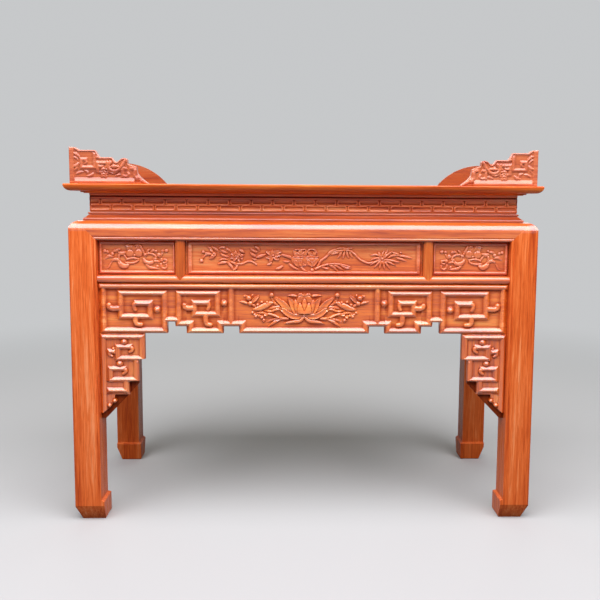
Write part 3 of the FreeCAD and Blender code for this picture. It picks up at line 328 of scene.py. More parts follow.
def carved_board(name, stations, low, high, relief, place, material, slot, *nodes,
                 rows, depth, contrast, edge=1.5):
    """Board with a carved front. Columns stand at the stations, and each runs from its low to its high
    edge in even rows. relief(across, up) is the height of the front, place(across, up, height) puts a
    point in the room, and the back lies at minus the depth. The outer edges are rounded by the edge
    radius. The "hollow" attribute is 0.35 plus the mean height around a point less its own, over the
    contrast."""
    low, high = np.broadcast_to(low, stations.shape), np.broadcast_to(high, stations.shape)
    across = np.repeat(stations[:, None], rows, axis=1)
    up = low[:, None] + (high - low)[:, None] * np.linspace(0, 1, rows)
    height = relief(across, up)
    rim = np.minimum.reduce(
        [up - low[:, None], high[:, None] - up, across - stations[0], stations[-1] - across]
    )
    inward = np.clip(edge - rim, 0, edge)
    height = height - (edge - np.sqrt(edge ** 2 - inward ** 2))
    count = len(stations)
    grid = np.arange(count * rows).reshape(count, rows)
    back_low = np.arange(count) + count * rows
    back_high = back_low + count
    back = np.full(count, -depth)
    points = np.concatenate([
        np.stack(place(across.ravel(), up.ravel(), height.ravel()), axis=1),
        np.stack(place(stations, low, back), axis=1),
        np.stack(place(stations, high, back), axis=1),
    ])
    quads = np.concatenate([
        np.stack([grid[:-1, :-1], grid[1:, :-1], grid[1:, 1:], grid[:-1, 1:]], axis=-1).reshape(-1, 4),
        np.stack([back_low[:-1], back_low[1:], grid[1:, 0], grid[:-1, 0]], axis=-1),
        np.stack([grid[:-1, -1], grid[1:, -1], back_high[1:], back_high[:-1]], axis=-1),
        np.stack([back_low[:-1], back_high[:-1], back_high[1:], back_low[1:]], axis=-1),
    ])
    ends = [
        np.r_[grid[0], back_high[0], back_low[0]],
        np.r_[back_low[-1], back_high[-1], grid[-1, ::-1]],
    ]
    corner, beside, above = points[grid[0, 0]], points[grid[1, 0]], points[grid[0, -1]]
    mirrored = np.linalg.det(np.stack([beside - corner, above - corner, points[back_low[0]] - corner])) > 0
    if mirrored:
        quads = quads[:, ::-1]
        ends = [end[::-1] for end in ends]
    mesh = bpy.data.meshes.new(name)
    mesh.vertices.add(len(points))
    mesh.vertices.foreach_set("co", (points * 0.001).ravel())
    corners = np.concatenate([quads.ravel(), *ends])
    sizes = np.concatenate([np.full(len(quads), 4), [len(end) for end in ends]])
    mesh.loops.add(len(corners))
    mesh.loops.foreach_set("vertex_index", corners)
    mesh.polygons.add(len(sizes))
    mesh.polygons.foreach_set("loop_start", np.cumsum(sizes) - sizes)
    mesh.update(calc_edges=True)
    # The hollow attribute drives the painted shade and painted highlight of carved wood; the back corners
    # take 0.5, which paints some shade on the edges and back.
    around = softened(height, 5, 5) - height
    hollow = np.r_[np.clip(0.35 + around / contrast, 0, 1).ravel(), np.full(2 * count, 0.5)]
    mesh.attributes.new("hollow", "FLOAT", "POINT").data.foreach_set("value", hollow)
    set_piece(mesh, material, slot, *nodes)


panel_half, panel_face, panel_level = 65.5, -364, 1000.5
border_width, bead_middle, bead_half, bead_rise = 17, 11.5, 5.5, 6
groove_end, groove_depth, groove_slope = 6, 3, 2


def panel_border(across, up, half_length, low_side, high_side):
    """Border along the edge of a panel, over a ground at zero, 17 mm wide above and below and as wide
    as given at the sides: a groove 3 mm deep outside, then a half round 11 mm wide and 6 mm high."""
    beside = (half_length - np.abs(across)) * border_width / np.where(across < 0, low_side, high_side)
    edge = np.minimum(beside, panel_half - np.abs(up))
    bead = bead_rise * np.sqrt(np.maximum(0, 1 - ((edge - bead_middle) / bead_half) ** 2))
    return bead - groove_depth * np.clip((groove_end - edge) / groove_slope, 0, 1)


def alike(kind, width, rise, *paths):
    """Strokes of one kind, width and rise, one along each path."""
    return tuple((kind, width, rise, *path) for path in paths)


# Strokes of the middle panel and of the left panel, in millimetres to the right of and above the
# panel's middle. The spray's blades spread from one point.
spray = alike("blade", 9.3, 5.3, *((290.1, -2.9, *blade) for blade in (
    (267.9, 13.5, 244.1, 10.5), (267.9, 0, 247.8, -5.9), (264.2, -13.4, 241.9, -27.6),
    (273.1, -20.1, 259, -35.1), (282.7, -23.9, 279, -40.3), (295.3, -24.6, 299.8, -41.8),
    (307.2, -23.1, 319.8, -41.8), (316.1, -14.9, 341.3, -27.6), (323.5, -8.2, 355.4, -14.9),
    (289.4, 13.5, 296.1, 28.5), (299, 13.5, 310.2, 30.7), (307.2, 12, 327.2, 27.7),
    (280.5, 12, 273.8, 25.5),
)))
garden = (
    ("bud", 15.6, 6.4, -382.1, -11.2), ("stem", 6, 4.2, -377.7, -2.9, -368.4, 8.3, -357.3, 13.5),
    ("bud", 11.9, 6.1, -375.5, 21), ("leaf", 9.7, 5.4, -370.3, 18, -355.4, 14.3, -338.7, 10.5),
    ("leaf", 8.9, 5.2, -349.9, 30.7, -342.4, 22.5, -333.2, 17.3),
    ("leaf", 8.9, 5.2, -359.1, 40.1, -348, 34.5, -339.1, 27),
    ("leaf", 9.7, 5.4, -344.3, 41.2, -329.4, 31.5, -316.8, 21),
    ("leaf", 15.6, 6.4, -330.2, 14.3, -340.6, 4.5, -352.4, -6.7), ("bud", 12.6, 6.3, -336.1, 15),
    ("leaf", 8.9, 5.2, -318.3, 33.7, -305.3, 39.7, -290.5, 38.2),
    ("leaf", 9.7, 5.4, -312.4, 29.2, -299.8, 21.4, -283.4, 17.3),
    ("leaf", 10.4, 5.6, -310.9, 14.3, -296.1, 6.4, -281.2, 2.3),
    ("leaf", 8.9, 5.2, -292.3, 34.5, -281.2, 28.8, -271.9, 20.2),
    *alike("petal", 14.1, 6.4,
        (-256.7, 6, -263.4, 12, -270.8, 16.5), (-255.2, 6.8, -256, 15.8, -255.2, 24),
        (-253.8, 6, -246.3, 12, -239.7, 16.5), (-256.7, 4.5, -265.6, 2.3, -274.5, 0),
        (-256, 3.8, -259.7, -3.7, -264.2, -10.4), (-253.8, 3.8, -247.8, -2.2, -242.6, -8.9),
    ),
    ("bud", 10.4, 6.4, -255.2, 5.3), ("leaf", 11.9, 6.1, -240.4, 29.2, -232.2, 24.7, -223.3, 18),
    ("leaf", 11.2, 5.9, -239.7, 1.5, -233, 8.3, -224.8, 11.3), ("bud", 9.7, 5.4, -233.7, -4.4),
    ("leaf", 11.2, 5.9, -319.1, -23.1, -299.8, -17.2, -281.2, -17.9),
    ("leaf", 9.7, 5.4, -316.1, -9.7, -299.8, -4.4, -284.9, -8.9),
    ("leaf", 10.4, 5.6, -286.4, -18.6, -273.8, -29.1, -262.7, -46.3),
    ("leaf", 9.7, 5.4, -275.3, -14.9, -259, -21.6, -249.3, -32.9),
    ("leaf", 8.9, 5.2, -250.1, -28.4, -256, -40.3, -266.4, -47.8),
    ("stem", 8.2, 5, -249.3, -23.1, -229.3, -21.6, -214.4, -14.2, -197.7, -13.4, -179.6, -24.6),
    ("blade", 7.4, 4.7, -249.3, -6.7, -244.1, -12.7, -241.2, -19.4),
    ("leaf", 11.9, 6.1, -201.1, 18.8, -190.3, 10.1, -175.9, 1.5),
    ("leaf", 10.4, 5.6, -201.1, 33, -188.5, 25.5, -173.6, 19.5),
    ("leaf", 11.2, 5.9, -184, 42.7, -173.6, 36.3, -166.2, 24.7),
    ("leaf", 12.6, 6.3, -178.8, 1.5, -162.5, 6.8, -142.5, 13.5),
    ("leaf", 7.4, 4.7, -193.7, -2.2, -186.6, -6.7, -175.9, -5.2),
    ("petal", 15.6, 6.4, -118, 8.3, -129.1, 17.3, -142.5, 24),
    ("petal", 15.6, 6.4, -116.5, 9.8, -103.9, 21.7, -87.6, 22.5),
    ("petal", 14.1, 6.4, -118, 7.5, -129.1, 2.3, -141.7, 2.3),
    ("petal", 14.9, 6.4, -115.8, 7.5, -106.1, -1.4, -97.2, -5.9),
    ("petal", 13.4, 6.4, -115, 9, -101.7, 10.5, -89.8, 9.8),
    ("petal", 14.1, 6.4, -118, 6, -125.4, -6.7, -127.6, -17.9),
    ("petal", 14.1, 6.4, -117.2, 10.5, -119.5, 20.2, -120.2, 29.2), ("bud", 11.9, 6.6, -116.5, 8.7),
    ("leaf", 8.9, 5.2, -138, -24.6, -128.4, -22.4, -122.4, -15.7),
    ("leaf", 10.4, 5.6, -106.8, -41.8, -92, -36.6, -78.7, -29.1),
    ("leaf", 11.2, 5.9, -88.3, 12.8, -66, 6.4, -51.2, 0.8, -36.4, -15.7),
    ("leaf", 8.2, 5, -79.4, -11.2, -66, -14.2, -52.7, -11.9),
    ("leaf", 9.7, 5.4, -58.6, -20.9, -43.8, -32.9, -19.3, -44.1),
    ("leaf", 8.9, 5.2, -36.4, -22.8, -17.8, -28.4, 4.5, -26.9),
    ("leaf", 8.9, 5.2, -15.6, -32.1, -3, -44.1, 11.9, -51.6), ("petal", 17, 4.6, -26, 0, -33, 14, -39, 28),
    ("petal", 17, 4.6, -6, 0, 1, 14, 6, 29), ("petal", 20, 5.2, -16, 2, -16, 16, -16, 31),
    ("stem", 6, 5.6, -36, 30.5, -24, 32, -8, 31, 4, 32), ("blade", 7, 5.4, -17, 10, -26, 18, -35, 24),
    ("blade", 7, 5.4, -15, 10, -6, 18, 3, 24), ("cup", 37, 5.4, -34, -7, -16, -9, 3, -7),
    ("stem", 6.5, 6.2, -37, 5, -16, 3.6, 4, 5), ("petal", 15, 6, -33, -14, -30, -22, -24, -30),
    ("petal", 15, 6.2, -16, -15, -14, -23, -10, -31), ("petal", 14, 6, 1, -13, 1, -21, -1, -28),
    ("stem", 7, 5.8, 9, 20, 15, 29.5, 27, 33.5, 38, 29.5, 45, 20), ("petal", 15, 5, 24, 7, 20, 15, 17, 23),
    ("petal", 15, 5, 31, 7, 35, 15, 38, 23), ("cup", 40, 5.4, 9, -8, 27, -9, 46, -8),
    ("stem", 6.5, 6.2, 7, 4.4, 27, 3, 48, 4.4), ("petal", 15, 6.2, 13, -11, 19, -20, 26, -29),
    ("petal", 15, 6.2, 42, -11, 36, -20, 29, -29), ("bud", 9, 6.2, 27, -16),
    ("bud", 13.4, 6.4, 28.2, -44.8),
    ("stem", 9.7, 5.4, 45.3, -38.5, 54.5, -21.6, 62, -8.9, 78.7, 3, 89.8, 15, 108.3, 23.2, 126.9, 27,
     149.1, 30, 169.5, 27, 186.2, 15, 199.2, 0.8, 215.9, -10.4, 238.2, -17.9, 258.6, -14.2, 275.3, -6.7),
    ("leaf", 10.4, 5.6, 83.8, 12.8, 100.9, 26.2, 120.9, 35.2),
    ("leaf", 8.9, 5.2, 98.7, 13.5, 115.8, 18.8, 132.8, 21),
    ("leaf", 9.7, 5.4, 118, 33.7, 138, 38.9, 162.5, 36.7),
    *alike("leaf", 8.9, 5.2,
        (141.7, 31.5, 160.3, 36, 182.5, 38.2), (138, 24.7, 131.3, 12, 121.7, -0.7),
        (148.4, 24.7, 144.7, 10.1, 141, -3.7), (156.6, 24.7, 159.5, 12, 164.7, -1.4),
    ),
    ("leaf", 8.2, 5, 165.5, 23.2, 172.5, 12, 180.3, 0.8),
    ("stem", 9.7, 5.4, 41.6, -40.3, 56.4, -32.9, 74.9, -26.1, 93.5, -23.1, 115.8, -21.6, 141.7, -25.4,
     167.7, -32.9), ("leaf", 9.7, 5.4, 91.3, -24.6, 108.3, -34.7, 126.9, -50.8),
    ("leaf", 9.7, 5.4, 108.3, -24.6, 126.9, -34.7, 146.9, -45.6),
    ("leaf", 8.9, 5.2, 132.1, -26.1, 152.9, -36.2, 175.1, -37.4),
    ("leaf", 8.9, 5.2, 62.3, -32.1, 78.7, -38.1, 93.5, -38.1),
    *spray,
    ("bud", 12.6, 6.3, 290.1, -2.2), ("leaf", 9.7, 5.4, 310.2, 2.3, 330.9, 11.3, 351.7, 14.3),
    ("leaf", 9.7, 5.4, 343.5, 12.8, 371.7, 8.3, 403.6, 0),
    ("leaf", 8.9, 5.2, 339.8, 3, 360.6, -2.9, 381.4, -9.7),
    ("leaf", 8.2, 5, 325.7, 22.5, 342.1, 17.6, 356.9, 11.3), ("bud", 8.9, 5.2, 358.4, 21.7),
)
knot = (
    ("petal", 26, 4.2, -14.2, 15.9, -22.7, 30.2, -31.2, 43.5),
    ("petal", 26, 4.2, -1.9, 15.9, 4.7, 30.2, 12.2, 43.5),
    ("petal", 20, 4.8, -8.2, 14, -8.2, 26.4, -8.2, 38.8),
    ("stem", 6.5, 5.3, -40.2, 41.6, -31.2, 45.1, -13.2, 43.2),
    ("stem", 6.5, 5.3, -4.8, 43.9, 6.6, 45.8, 15.1, 40.7, 18.3, 34), ("bud", 31, 6.3, -25.1, 14.9),
    ("bud", 31, 6.3, 7, 16.1), ("bud", 10, 4.8, -8.2, 6.9),
    ("stem", 9, 4.8, -60.4, 15.9, -66.1, 1.6, -65.2, -13.7, -57.6, -25.2),
    ("blade", 21, 7.1, -66.7, -15.6, -56.7, -28.6, -42.5, -32.8, -27.4, -24.2),
    ("leaf", 14, 5.6, -67.1, 17.8, -53.8, 13.8, -37.8, 20.3),
    ("blade", 8, 4.4, -47.8, 9.2, -39.7, -1.3, -32.7, -12.7),
    ("stem", 8.5, 4.8, -35.9, -7.6, -23.6, -3.4, -8.5, -2.6, 4.3, -5.7),
    ("stem", 8.5, 4.8, -40.2, -20.4, -23.6, -21.3, -6.6, -19, 3.7, -12.7, 6.2, -5.1),
    ("blade", 7, 2.9, -112, -41.9, -103.9, -36.6, -97.3, -24.2, -88.8, -14.7),
    ("leaf", 12.5, 5.1, -91.6, -11.8, -78.4, -7.6, -70.8, -10.3, -61.8, -19.8),
    ("leaf", 11.5, 4.6, -115.8, -4.5, -102, 3.9, -84.4, 1.2),
    ("leaf", 11.5, 4.9, -88.2, 21, -75.5, 24.5, -62.3, 29), ("bud", 9.5, 4.9, -63.7, 29),
    ("bud", 14.5, 5.4, -89.7, 12.6), ("bud", 12, 5.3, -106.7, 20.3), ("bud", 14, 5.6, -117.3, 22.9),
    ("stem", 10, 5.3, 13.2, 42.6, 20.7, 28.3, 27.3, 15.9, 33.9, 6.9),
    ("stem", 9, 4.8, 29.2, 8.8, 40.6, 14.5, 55.7, 13.4, 67, 6.9, 72.3, -2.6),
    ("blade", 16, 6.3, 25.1, -5.1, 30.7, -15.6, 44.3, -20.6, 58.5, -16.6, 64.2, -7),
    ("leaf", 10.5, 4.9, 59.8, -9.5, 67, -5.1, 75.3, -6.1),
    ("leaf", 9.5, 4.8, 60.9, -14.8, 72.6, -14.1, 86.8, -17.5),
    ("leaf", 12, 5.1, 33, -26.3, 47.2, -36.6, 61.3, -40, 81.1, -40.8), ("bud", 11.5, 4.6, 74.9, -33.2),
    ("leaf", 9.5, 4.8, 35.8, 15.3, 42.4, 25.4, 50, 31.3),
    ("leaf", 10.5, 4.8, 49, 18.4, 61.3, 25.4, 74.2, 22.6), ("bud", 12.5, 5.1, 70.8, 22.9),
    ("bud", 17, 5.6, 82.1, 7.7), ("blade", 7, 3.4, 84, -0.3, 92.5, 11.1, 96.2, 19.7),
    ("bud", 11.5, 5.1, 95.3, 23.5), ("bud", 14.5, 5.6, 109.3, 24.8), ("bud", 14.5, 5.1, 91.5, -8.9),
    ("stem", 8.5, 4.2, 99.1, -7.6, 108.5, -9.9, 107.8, -18.5, 98.1, -19.8),
    ("stem", 8.5, 4.2, 88.7, -25.2, 91.5, -34.7, 100, -41.4, 109.5, -35.6, 108.5, -27.1),
)
# The frieze's ridge colour is a painted highlight on its carving.
panel_wood = rosewood("frieze_wood", "X", (1.7, 0.3, 2.4), (1.10, 1.36, 1.80), ridge=(1.16, 1.45, 4.2))
for name, middle, half_length, side, strokes, low_side, high_side in (
    ("centre", 0.0, 441.25, 1, garden, 25, 25),
    ("left", -620.875, 143.125, 1, knot, 16, 9),
    ("right", 620.875, 143.125, -1, knot, 16, 9),
):
    def panel_relief(across, up):
        """Border and ground of a panel, with its strokes."""
        height = panel_border(across * side, up, half_length, low_side, high_side)
        carve(height, across * side, up, strokes, cut=0.9)
        return height

    columns = np.linspace(-half_length, half_length, int(2 * half_length / 1.2))
    carved_board(
        "carved_panel_" + name, columns, -panel_half, panel_half, panel_relief,
        lambda a, b, h: (a + middle, panel_face - h, b + panel_level),
        panel_wood, "carved_wood", "frieze_panel_front_" + name, rows=112, depth=14, contrast=13,
    )
plain_long = rosewood("panel_wood_long", "X", (2.3, 0.8, 1.4))
plain_cross = rosewood("panel_wood_cross", "Y", (0.2, 1.8, 2.1))
plain_sides = (("back", plain_long), ("left", plain_cross), ("right", plain_cross))
for side, wood in plain_sides:
    eased("frieze_panel_" + side, wood, "carved_wood", ease=0.002)


# Aprons
# Thick boards under the middle rails. The front one is cut to a stepped edge and carved with square
# scrolls of half-round bars, and a lotus with its leaves in the middle; sides and back are plain.
def square_bars(across, up, lines, half, rise, blunt=1.35):
    """Ridged bars with mitred corners along axis-parallel runs: the rise times 1 - (d / half)^blunt, d
    being the larger of the distances across and up to the nearest run. A low blunt gives flat slopes
    that meet in a ridge, a high one a flat top."""
    gap = np.full(across.shape, 1e3)
    for line in lines:
        for (a0, b0), (a1, b1) in zip(line, line[1:]):
            beside = np.maximum(min(a0, a1) - across, across - max(a0, a1))
            above = np.maximum(min(b0, b1) - up, up - max(b0, b1))
            gap = np.minimum(gap, np.maximum(np.maximum(beside, above), 0))
    return rise * np.maximum(0, 1 - (gap / half) ** blunt)


def overlaid(bars, strokes):
    """Bars and strokes together: the higher of both, and the strokes' grooves where no bar stands."""
    return np.where((bars < 0.5) & (strokes < 0), strokes, np.maximum(bars, strokes))


# All of these lie on one half, in millimetres from the middle and above the lower edge: the runs of
# the square scrolls, the hooks and balls that end them, the lotus, and the steps of the lower edge.
scroll_runs = (
    ((0.0, 10.5), (230.4, 10.5), (230.4, 36.5), (314.6, 36.5), (314.6, 10.5), (423.8, 10.5), (423.8, 36.5),
     (468.3, 36.5), (468.3, 151.0), (323.7, 151.0), (323.7, 72.5), (409.5, 72.5), (409.5, 114.5),
     (362.0, 114.5)),
    ((468.3, 51.0), (520.5, 51.0)),
    ((746.0, 174.0), (746.0, 10.8), (520.5, 10.8), (520.5, 151.0), (682.5, 151.0), (682.5, 62.7),
     (574.0, 62.7), (574.0, 112.1), (622.0, 112.1)),
    ((273.8, 174.0), (273.8, 36.5)),
)
top_bead = (((0.0, 177.0), (752.0, 177.0)),)
scroll_ends = (
    ("stem", 17, 8, 620, 112, 631, 109.5, 633.5, 100, 629, 88), ("ball", 28.5, 11.5, 548, 88.5),
    ("stem", 20.5, 9.6, 627.5, 60, 628, 45, 622, 34, 608, 32),
    ("stem", 21.5, 9.8, 687, 93.5, 712, 92.5, 724, 97, 725.5, 106),
    ("stem", 17, 8, 366, 114.2, 357.5, 111.5, 355.5, 102, 359.5, 90.5), ("ball", 28, 11.5, 298.9, 112.8),
    ("stem", 20.5, 9.6, 367.5, 69, 367.5, 48, 362.5, 35, 350.5, 31.8),
    ("stem", 21.5, 9.8, 412, 95.5, 431, 94.5, 443, 98, 446, 105.5),
)
lotus = (
    ("leaf", 9.5, 4.8, 120, 124.9, 113.3, 116.6, 97.9, 105.7, 79.5, 96.4),
    ("leaf", 10.5, 5, 81, 98.9, 107.1, 98.9, 131.7, 93.9), ("petal", 64, 5.4, 0, 99.5, 0, 118.1, 0, 133.6),
    ("petal", 26, 8.4, 44.1, 73.1, 62.6, 91.8, 82.5, 113.5, 104.7, 131.1),
    ("petal", 26, 10, 21.1, 71, 35.8, 91.8, 45.7, 113.5, 56.7, 131.1),
    ("cup", 20, 10.4, 17.4, 71.6, 26, 90.2, 31.5, 108.8, 34, 123.7),
    ("cup", 23, 11, 0, 84, 0, 104.2, 0, 126.8), ("cup", 27, 13.5, 5.4, 69.7, 14.3, 85.5, 16.8, 109.4),
    ("petal", 22, 9.6, 5.7, 64.8, 36.4, 64.2, 61, 74.7, 79.5, 88.7, 94.8, 93.9),
    ("leaf", 9, 5.8, 85.6, 90.8, 104.1, 90.2, 125.6, 83.4, 151.7, 87.1),
    ("blade", 15, 8, 0.5, 63.5, 16.5, 48.3, 42.6, 44.3, 74.6, 38.7),
    ("stem", 11, 7, 62.6, 56.7, 90.2, 56.7, 110.2, 66.9, 130.2, 73.1, 147.7, 67.9),
    ("bud", 14.5, 7.4, 158.8, 61.1), ("bud", 13.5, 7, 151.4, 49.9),
    ("leaf", 13, 6.2, 85.6, 55.5, 105.6, 46.8, 134.8, 25.7),
    ("leaf", 9, 5, 94.8, 55.5, 116.4, 52.4, 137.9, 43.7),
    ("leaf", 9, 5, 138.5, 71.6, 159.4, 77.8, 177.8, 76.2),
    ("leaf", 8.5, 4.8, 159.4, 64.8, 174.8, 67.9, 191.7, 73.1), ("bud", 11, 5.4, 180.9, 63.8),
    ("bud", 11, 5.4, 193.8, 77.8), ("leaf", 22, 6.8, 121, 116.6, 144, 105.7, 168.6, 94.9, 193.2, 90.2),
    ("bud", 10.5, 6.2, 139.4, 117.2), ("bud", 11, 6.2, 159.4, 118.1), ("bud", 11, 6.2, 174.8, 108.2),
    ("leaf", 10, 5.6, 180.9, 101.1, 190.1, 106.3, 202.4, 110),
    ("petal", 14.5, 7.4, 191.7, 121.2, 182.4, 130.5, 170.5, 141.1),
    ("leaf", 9, 5.6, 205.5, 133.6, 214.7, 139.8, 227, 142.3), ("bud", 9, 5.4, 193.8, 143.5),
    ("bud", 8.5, 5.4, 223.3, 140.4), ("bud", 20, 9.6, 207.3, 133),
    ("blade", 11, 6.4, 209.2, 111.3, 220.9, 116.2, 239.9, 120), ("bud", 18.5, 8.6, 201.8, 113.1),
    ("stem", 5.6, 3.6, 122.5, 135.2, 121.3, 129, 119.4, 121.2), ("bud", 19, 8.6, 122.5, 144.2),
    ("blade", 10, 6.6, 26.6, 140.4, 41.1, 143.5, 64.7, 143.5),
    ("blade", 9, 6.6, 2.6, 141.7, 14.9, 148.5, 27.8, 140.4),
)
apron_half, apron_height, apron_low, board_face = 763.8, 189.5, 717.5, -370
edge_out = np.array([0, 242.6, 243.4, 301.4, 302.2, 438.9, 439.7, 480.2, 481.0, 509.2, 510.0, apron_half])
edge_up = np.array([0, 0, 26.2, 26.2, 0, 0, 26.2, 26.2, 43.9, 43.9, 0, 0.0])


def apron_relief(across, up):
    """Height over the apron's ground, the same on both halves."""
    out = np.abs(across)
    height = square_bars(out, up, scroll_runs, half=12.2, rise=9.5)
    height = np.maximum(height, square_bars(out, up, top_bead, half=13.2, rise=12.0, blunt=1.9))
    ends, flowers = np.zeros_like(height), np.zeros_like(height)
    carve(ends, out, up, scroll_ends)
    carve(flowers, out, up, lotus)
    return overlaid(height, np.maximum(ends, flowers))


fine, coarse = np.linspace(-256, 256, 430), np.linspace(258, apron_half, 238)
columns = np.unique(np.concatenate([fine, coarse, -coarse, edge_out, -edge_out]))
lower = np.interp(np.abs(columns), edge_out, edge_up)
# The apron's ridge colour is a painted highlight on its bars, balls and flowers.
apron_wood = rosewood(
    "apron_wood", "X", (0.9, 2.9, 0.7), (1.20, 1.50, 1.1), lacquer=1.7, ridge=(1.10, 1.20, 2.3),
)
carved_board(
    "carved_apron_front", columns, lower, apron_height, apron_relief,
    lambda a, b, h: (a, board_face - h, b + apron_low),
    apron_wood, "carved_wood", "apron_front", rows=104, depth=24, contrast=10,
)
for side, wood in plain_sides:
    eased("apron_" + side, wood, "carved_wood", ease=0.003)

# Corner brackets
# Stepped boards under the front apron, tongued into the legs, pierced in look only: half-round bars,
# hooks and balls are carved on the face, and a plain backing board closes the corner behind it.
bracket_runs = (
    ((13.5, 14.2), (158, 14.2)), ((68, 95.6), (158, 95.6)), ((68, 52.1), (112, 52.1)),
    ((52, 70.1), (38, 70.1)), ((39, 135), (88, 135)), ((39, 176.6), (135, 176.6)),
    ((34, 217.9), (96, 217.9)),
)
bracket_posts = (
    ((158, 14.2), (158, 95.6)), ((13.5, 14.2), (13.5, 300)), ((68, 52.1), (68, 95.6)),
    ((39, 135), (39, 176.6)), ((135.5, 100), (135.5, 176.6)), ((96, 182), (96, 217.9)),
)
bracket_ends = (
    ("stem", 15, 7.5, 110, 52.5, 120, 57, 120.5, 65, 112, 71.5), ("ball", 27, 10.5, 91, 34),
    ("ball", 14, 7.5, 51, 58.5), ("stem", 13, 6.5, 35.5, 74, 37, 82, 46, 87), ("ball", 27, 10.5, 73, 116),
    ("ball", 16, 8, 139.5, 109.5), ("stem", 15, 7.5, 86, 135.5, 95, 140, 95, 147.5, 87, 153.5),
    ("ball", 18, 8, 51.9, 258), ("ball", 18, 8, 32.5, 275.5),
)
bracket_top, bracket_depth, backing_depth = 717.3, 12, 24
bracket_down = np.array(
    [0, 97.4, 98.2, 180.8, 181.6, 232.9, 233.7, 249, 254, 259, 265, 269, 275, 281, 304.9]
)
bracket_in = np.array([169.5, 169.5, 146, 146, 108, 108, 54, 52, 59, 60.5, 54, 43, 41.5, 36, 8])
backing_down = np.array([0, 91.4, 92.2, 193.5, 240.9, 328.2])
backing_in = np.array([166, 166, 142.5, 142.5, 99.2, 16.0])


def bracket_relief(down, inward):
    """Bars, hooks and balls over the bracket's face."""
    height = square_bars(inward, down, bracket_posts, half=11.0, rise=6.5, blunt=3.0)
    height = np.maximum(height, square_bars(inward, down, bracket_runs, half=11.0, rise=8.5))
    ends = np.zeros_like(height)
    carve(ends, inward, down, bracket_ends)
    return overlaid(height, ends)


def with_corners(corners, count):
    """Even stations from zero to the last corner, together with the corners."""
    return np.unique(np.concatenate([np.linspace(0, corners[-1], count), corners]))


def backing_relief(down, inward):
    """The backing board's flat face, behind the bracket."""
    return np.full(down.shape, -float(bracket_depth))


# The bracket's ridge colour is a painted highlight on its bars and balls.
bracket_wood = rosewood(
    "bracket_wood", "Z", (2.0, 0.4, 3.3), (1.08, 1.30, 1.1), lacquer=1.7, ridge=(1.06, 1.12, 1.7),
)
# The backing board's wood is darkened: painted shade behind the bracket.
backing_shade_wood = rosewood(
    "bracket_backing_wood", "Z", (2.6, 0.4, 1.3), (0.34, 0.28, 0.3), coat=0.05, polish=0.04,
)
for side, sign in (("left", -1), ("right", 1)):
    def corner_place(down, inward, height):
        """Place on the bracket: down from its top, in from the leg, out from its face."""
        return sign * (apron_half - inward), board_face - height, bracket_top - down

    rungs = with_corners(bracket_down, 234)
    carved_board(
        "carved_bracket_" + side, rungs, 0.0, np.interp(rungs, bracket_down, bracket_in), bracket_relief,
        corner_place, bracket_wood, "carved_wood", "bracket_" + side,
        rows=136, depth=bracket_depth, contrast=11,
    )
    rungs = with_corners(backing_down, 42)
    carved_board(
        "bracket_backing_" + side, rungs, 0.0, np.interp(rungs, backing_down, backing_in), backing_relief,
        corner_place, backing_shade_wood, "carved_wood", rows=24, depth=backing_depth, contrast=9,
    )

# Neck and its base
# A waist of four boards under the top, mitred and dowelled on a moulded base. Front and ends are cut
# with a sunk band of two rows of rounded tabs, each row half a step from the other; the back is plain.
neck_long, neck_short, neck_low, neck_height, base_low = 800, 330, 1170, 66.0, 1136
tab_step, tab_half, tab_corner = 80, 38, 8.5
tab_rows = ((2.0, 24.4, 0.0, 2.0), (24.4, 46.4, 40.0, 46.4))
ground_depth, slope_depth, recess_depth = 2.0, 3.6, 4.0
tab_edge, tab_fall, rim_from, rim_fall = 0.7, 1.8, 3.8, 1.4
band_top, band_fall, recess_low, recess_high, recess_fall = 46.9, 2.5, 51.5, 58.5, 1.5


def tab_band(across, up):
    """Height over the neck's face. Two rows of tabs, 76 mm long every 80 mm with 8.5 mm corners and
    half a step apart, meet 24.4 mm up. Between the tabs the ground is 2 mm deep. Inside a 4.5 mm rim
    each tab slopes from the face at its outer side to 3.6 mm deep at the row line. A recess 4 mm deep
    runs above, under the top."""
    ground = np.ones(across.shape)
    slope = np.zeros(across.shape)
    for low, high, offset, outer in tab_rows:
        beside = np.abs(np.mod(across + offset, tab_step) - tab_step / 2) - (tab_half - tab_corner)
        above = np.abs(up - 0.5 * (low + high)) - (0.5 * (high - low) - tab_corner)
        rounded = np.hypot(np.maximum(beside, 0), np.maximum(above, 0))
        outside = rounded + np.minimum(np.maximum(beside, above), 0) - tab_corner
        ground = np.minimum(ground, np.clip((outside + tab_edge) / tab_fall, 0, 1))
        inside = np.clip((-outside - rim_from) / rim_fall, 0, 1)
        slope += slope_depth * inside * np.abs(up - outer) / (high - low)
    ground = ground * np.clip((band_top - up) / band_fall, 0, 1)
    recess = np.clip((up - recess_low) / recess_fall, 0, 1)
    recess = recess * np.clip((recess_high - up) / recess_fall, 0, 1)
    return -ground_depth * ground - slope - recess_depth * recess


# The neck's ridge colour is a painted highlight on the tabs' rims.
neck_finish = {"light": (1.30, 1.72, 2.5), "coat": 0.6, "polish": 0.3, "ridge": (1.06, 1.12, 1.6)}
base_finish = {"light": (0.80, 0.84, 1.4), "gloss": 0.36, "coat": 0.7, "lacquer": 1.7}
neck_wood_long = rosewood("neck_wood_long", "X", (0.6, 1.4, 3.0), **neck_finish)
neck_wood_cross = rosewood("neck_wood_cross", "Y", (1.6, 0.4, 3.8), **neck_finish)
base_wood_long = rosewood("base_wood_long", "X", (1.1, 0.7, 0.4), **base_finish)
base_wood_cross = rosewood("base_wood_cross", "Y", (0.3, 1.1, 0.8), **base_finish)


